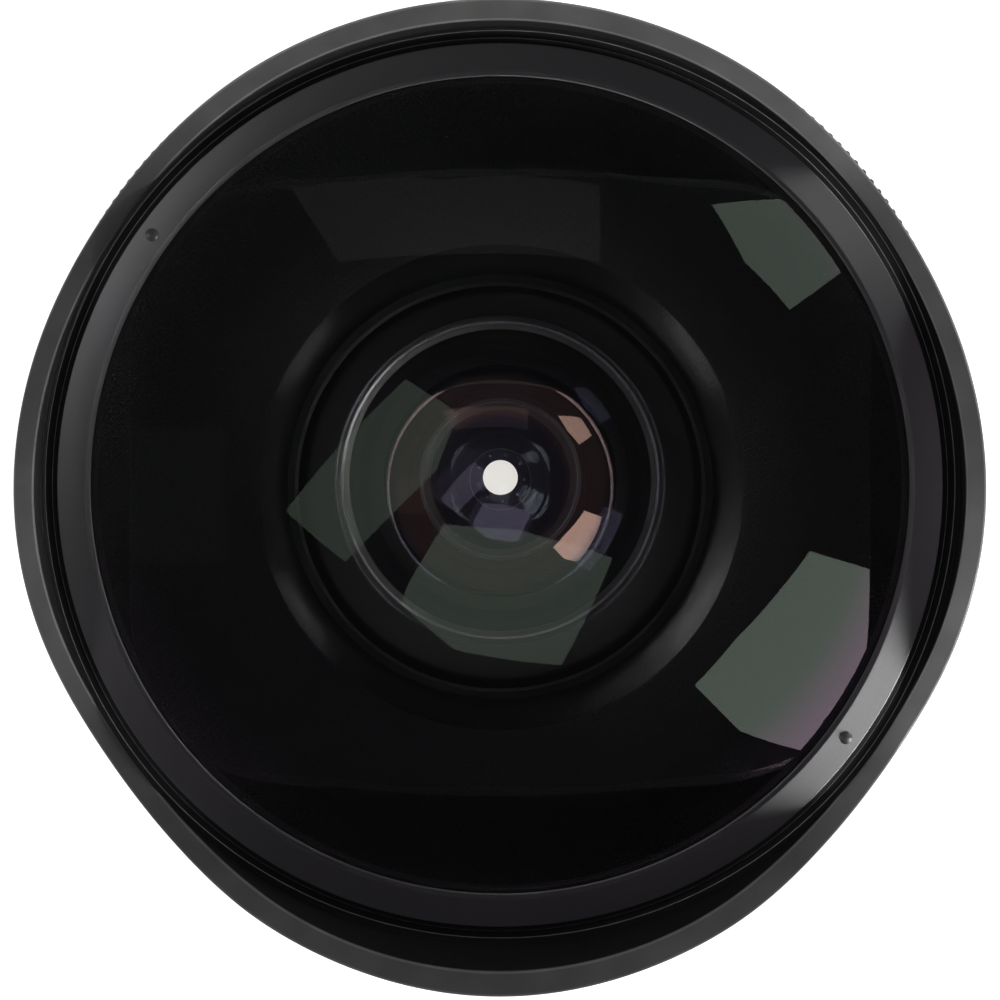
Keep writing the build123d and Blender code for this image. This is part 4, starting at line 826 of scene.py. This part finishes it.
FOCUS_R = 36.2
CONE_R, CONE_FOOT, CONE_SLOPE = 33, 20, 0.2
APERTURE_R = 33.0
FOCUS_TURN = -90  # degrees from the far mark to the near stop
STOP_TURN = -6  # degrees from one full stop to the next
NUMBERS_Z = 28.6
near_to_far = [("3", 0.10), ("1", 0.26), ("0.7", 0.40), ("0.5", 0.58), ("0.4", 0.76), ("0.3", 0.97)]
second_row = [("10", 0.10), ("4", 0.24), ("2.5", 0.37), ("1.7", 0.56), ("1.3", 0.76), ("1", 0.97)]
numbers = [(text, FOCUS_TURN * share, NUMBERS_Z, 2.1) for text, share in near_to_far]
marks("distance_numbers", "focus_ring", white_paint, numbers, focus_radius)
numbers = [(text, FOCUS_TURN * share, 31.9, 1.7) for text, share in second_row]
marks("distance_numbers_small", "focus_ring", orange_paint, numbers, focus_radius)
dots = []
for side in (-1, 1):
    for k in range(14):
        x, y = around(1, TAU * k / 14)
        dots.append((None, math.degrees((side + x) * 0.62 / FOCUS_R), NUMBERS_Z + 0.6 * y, (0.3, 0.3)))
marks("distance_far_mark", "focus_ring", white_paint, dots, focus_radius)
ticks = [(None, FOCUS_TURN * share, 26.95, (0.18, 0.7)) for share in [0.0] + [s for text, s in near_to_far]]
marks("distance_ticks", "focus_ring", white_paint, ticks, focus_radius)

depths = [(sign * angle, text) for angle, text in ((5.5, "4"), (11, "8"), (17, "16"), (23, "22")) for sign in (-1, 1)]
lines = [(None, 0, 24.3, (0.3, 2.8))] + [(None, angle, 25.1, (0.2, 1.3)) for angle, text in depths]
marks("depth_lines", "depth_scale_ring", white_paint, lines, cone_radius)
numbers = [(text, angle, 22.6, 1.7) for angle, text in depths]
marks("depth_numbers", "depth_scale_ring", white_paint, numbers, cone_radius)

stops = ["2.8", "4", "5.6", "8", "11", "16", "22"]
numbers = [(text, STOP_TURN * k, 16.6, 1.9) for k, text in enumerate(stops)]
marks("aperture_numbers", "aperture_ring", white_paint, numbers, aperture_radius)
ticks = [(None, STOP_TURN * k / 2, 18.7, (0.16, 0.45 if k % 2 else 0.9)) for k in range(2 * len(stops) - 1)]
marks("aperture_ticks", "aperture_ring", white_paint, ticks, aperture_radius)


# Studio

scene = bpy.context.scene
WALL_RADIUS = 430
CEILING_HEIGHT = 1200
FLOOR_RADIUS = 2500


def wall(azimuth, corners):
    """Corners given as (across, height) on an upright wall around the lens, in millimetres."""
    x, y = around(1, math.radians(azimuth))
    out, across = Vector((x, y, 0)), Vector((-y, x, 0))
    return [out * WALL_RADIUS + across * t + Vector((0, 0, h)) for t, h in corners]


def ceiling(corners):
    return [Vector((x, y, CEILING_HEIGHT)) for x, y in corners]


def empty_tree(owner):
    """The owner's node tree, without nodes."""
    owner.use_nodes = True
    owner.node_tree.nodes.clear()
    return owner.node_tree


def panel(name, points, strength, sharp_strength, colour=(1, 1, 1)):
    """Light panel; polished faces see it at a level of its own."""
    material = bpy.data.materials.new(name)
    tree = empty_tree(material)
    sharp = add_node(tree, "LightPath").outputs["Is Singular Ray"]
    level = add_node(tree, "MapRange", {"To Min": strength, "To Max": sharp_strength}, {"Value": sharp})
    light = add_node(tree, "Emission", {"Color": (*colour, 1)}, {"Strength": level.outputs["Result"]})
    add_node(tree, "OutputMaterial", links={"Surface": light.outputs["Emission"]})
    obj = new_object(name, points, [list(range(len(points)))], [material], smooth=False)
    obj.visible_camera = False
    obj.visible_shadow = False


low_right = [(127, 298), (117, 125), (88, 113), (-91, 100), (-126, 225), (-127, 368), (-34, 357), (60, 325)]
up_right = [(83, 251), (1, 118), (-84, 132), (-90, 269), (-1, 284)]
far_up = [(251, 243), (38, 335), (-213, 354), (-274, 589), (67, 532), (259, 475)]
far_left = [(-71, 147), (-97, 386), (107, 373), (72, 131)]
over_left = [(-374, 367), (-157, 225), (-237, 12), (-645, -379), (-970, -188)]
over_low = [
    (-212, -190),
    (-363, -439),
    (-406, -539),
    (-188, -748),
    (263, -843),
    (441, -339),
    (321, -289),
    (70, -209),
]
panel("window_low_right", wall(-32, low_right), 12, 1.2)
panel("window_up_right", wall(40, up_right), 6, 0.8)
panel("wall_up", wall(97, far_up), 0.1, 0.12, (1, 0.86, 0.96))
panel("wall_left", wall(185, far_left), 2.2, 0.05, (1, 0.9, 1))
panel("cloth_left", ceiling(over_left), 0.06, 0.40)
panel("cloth_low", ceiling(over_low), 0.06, 0.52)


def build_floor():
    """Pale floor that keeps the shadow. It is white to camera, gloss and glass, and clear from below."""
    material = bpy.data.materials.new("floor_white")
    tree = empty_tree(material)
    rays = add_node(tree, "LightPath").outputs
    seen = rays["Is Camera Ray"]
    for other in ("Is Glossy Ray", "Is Transmission Ray"):
        seen = add_node(tree, "Math", links={0: seen, 1: rays[other]}, operation="MAXIMUM").outputs[0]
    glow = add_node(tree, "Emission", links={"Strength": seen})
    cloth = add_node(tree, "BsdfDiffuse", {"Color": (0.55, 0.55, 0.55, 1)})
    both = add_node(tree, "AddShader", links={0: cloth.outputs[0], 1: glow.outputs[0]})
    clear = add_node(tree, "BsdfTransparent")
    below = add_node(tree, "NewGeometry").outputs["Backfacing"]
    surface = add_node(tree, "MixShader", links={0: below, 1: both.outputs[0], 2: clear.outputs[0]})
    add_node(tree, "OutputMaterial", links={"Surface": surface.outputs[0]})
    height = cad_bounds[0].z / MM - 0.01
    edge = [(*around(FLOOR_RADIUS, TAU * k / 64), height) for k in range(64)]
    new_object("floor", edge, [list(range(64))], [material], smooth=False)


def build_world():
    """Even soft light, low and faintly lilac in reflections, white where the camera sees it."""
    world = bpy.data.worlds.new("studio")
    scene.world = world
    tree = empty_tree(world)
    rays = add_node(tree, "LightPath").outputs
    glossy = {0: rays["Is Glossy Ray"]}
    light = add_node(tree, "Mix", {2: 0.3, 3: 0.032}, glossy, data_type="FLOAT")
    links = {0: rays["Is Camera Ray"], 2: light.outputs[0]}
    strength = add_node(tree, "Mix", {3: 1.0}, links, data_type="FLOAT")
    tint = between(tree, rays["Is Glossy Ray"], (1, 1, 1, 1), (1.0, 0.86, 1.1, 1))
    sky = add_node(tree, "Background", links={"Color": tint, "Strength": strength.outputs[0]})
    add_node(tree, "OutputWorld", links={"Surface": sky.outputs[0]})


build_floor()
build_world()


# Camera

camera_data = bpy.data.cameras.new("camera")
camera = bpy.data.objects.new("camera", camera_data)
scene.collection.objects.link(camera)
camera_data.sensor_width = 36
camera_data.lens = 154.04
camera_data.shift_x = -0.01187
camera_data.shift_y = -0.13869
camera_data.clip_start = 0.02
camera_data.clip_end = 10
camera.location = (0.0009, 0.024295, 0.387082)
camera.rotation_euler = (math.radians(-2.6043), 0, 0)
scene.camera = camera

scene.view_settings.view_transform = "Standard"
scene.cycles.max_bounces = 40
scene.cycles.transmission_bounces = 40
scene.cycles.glossy_bounces = 8
scene.cycles.diffuse_bounces = 3
scene.cycles.sample_clamp_indirect = 0
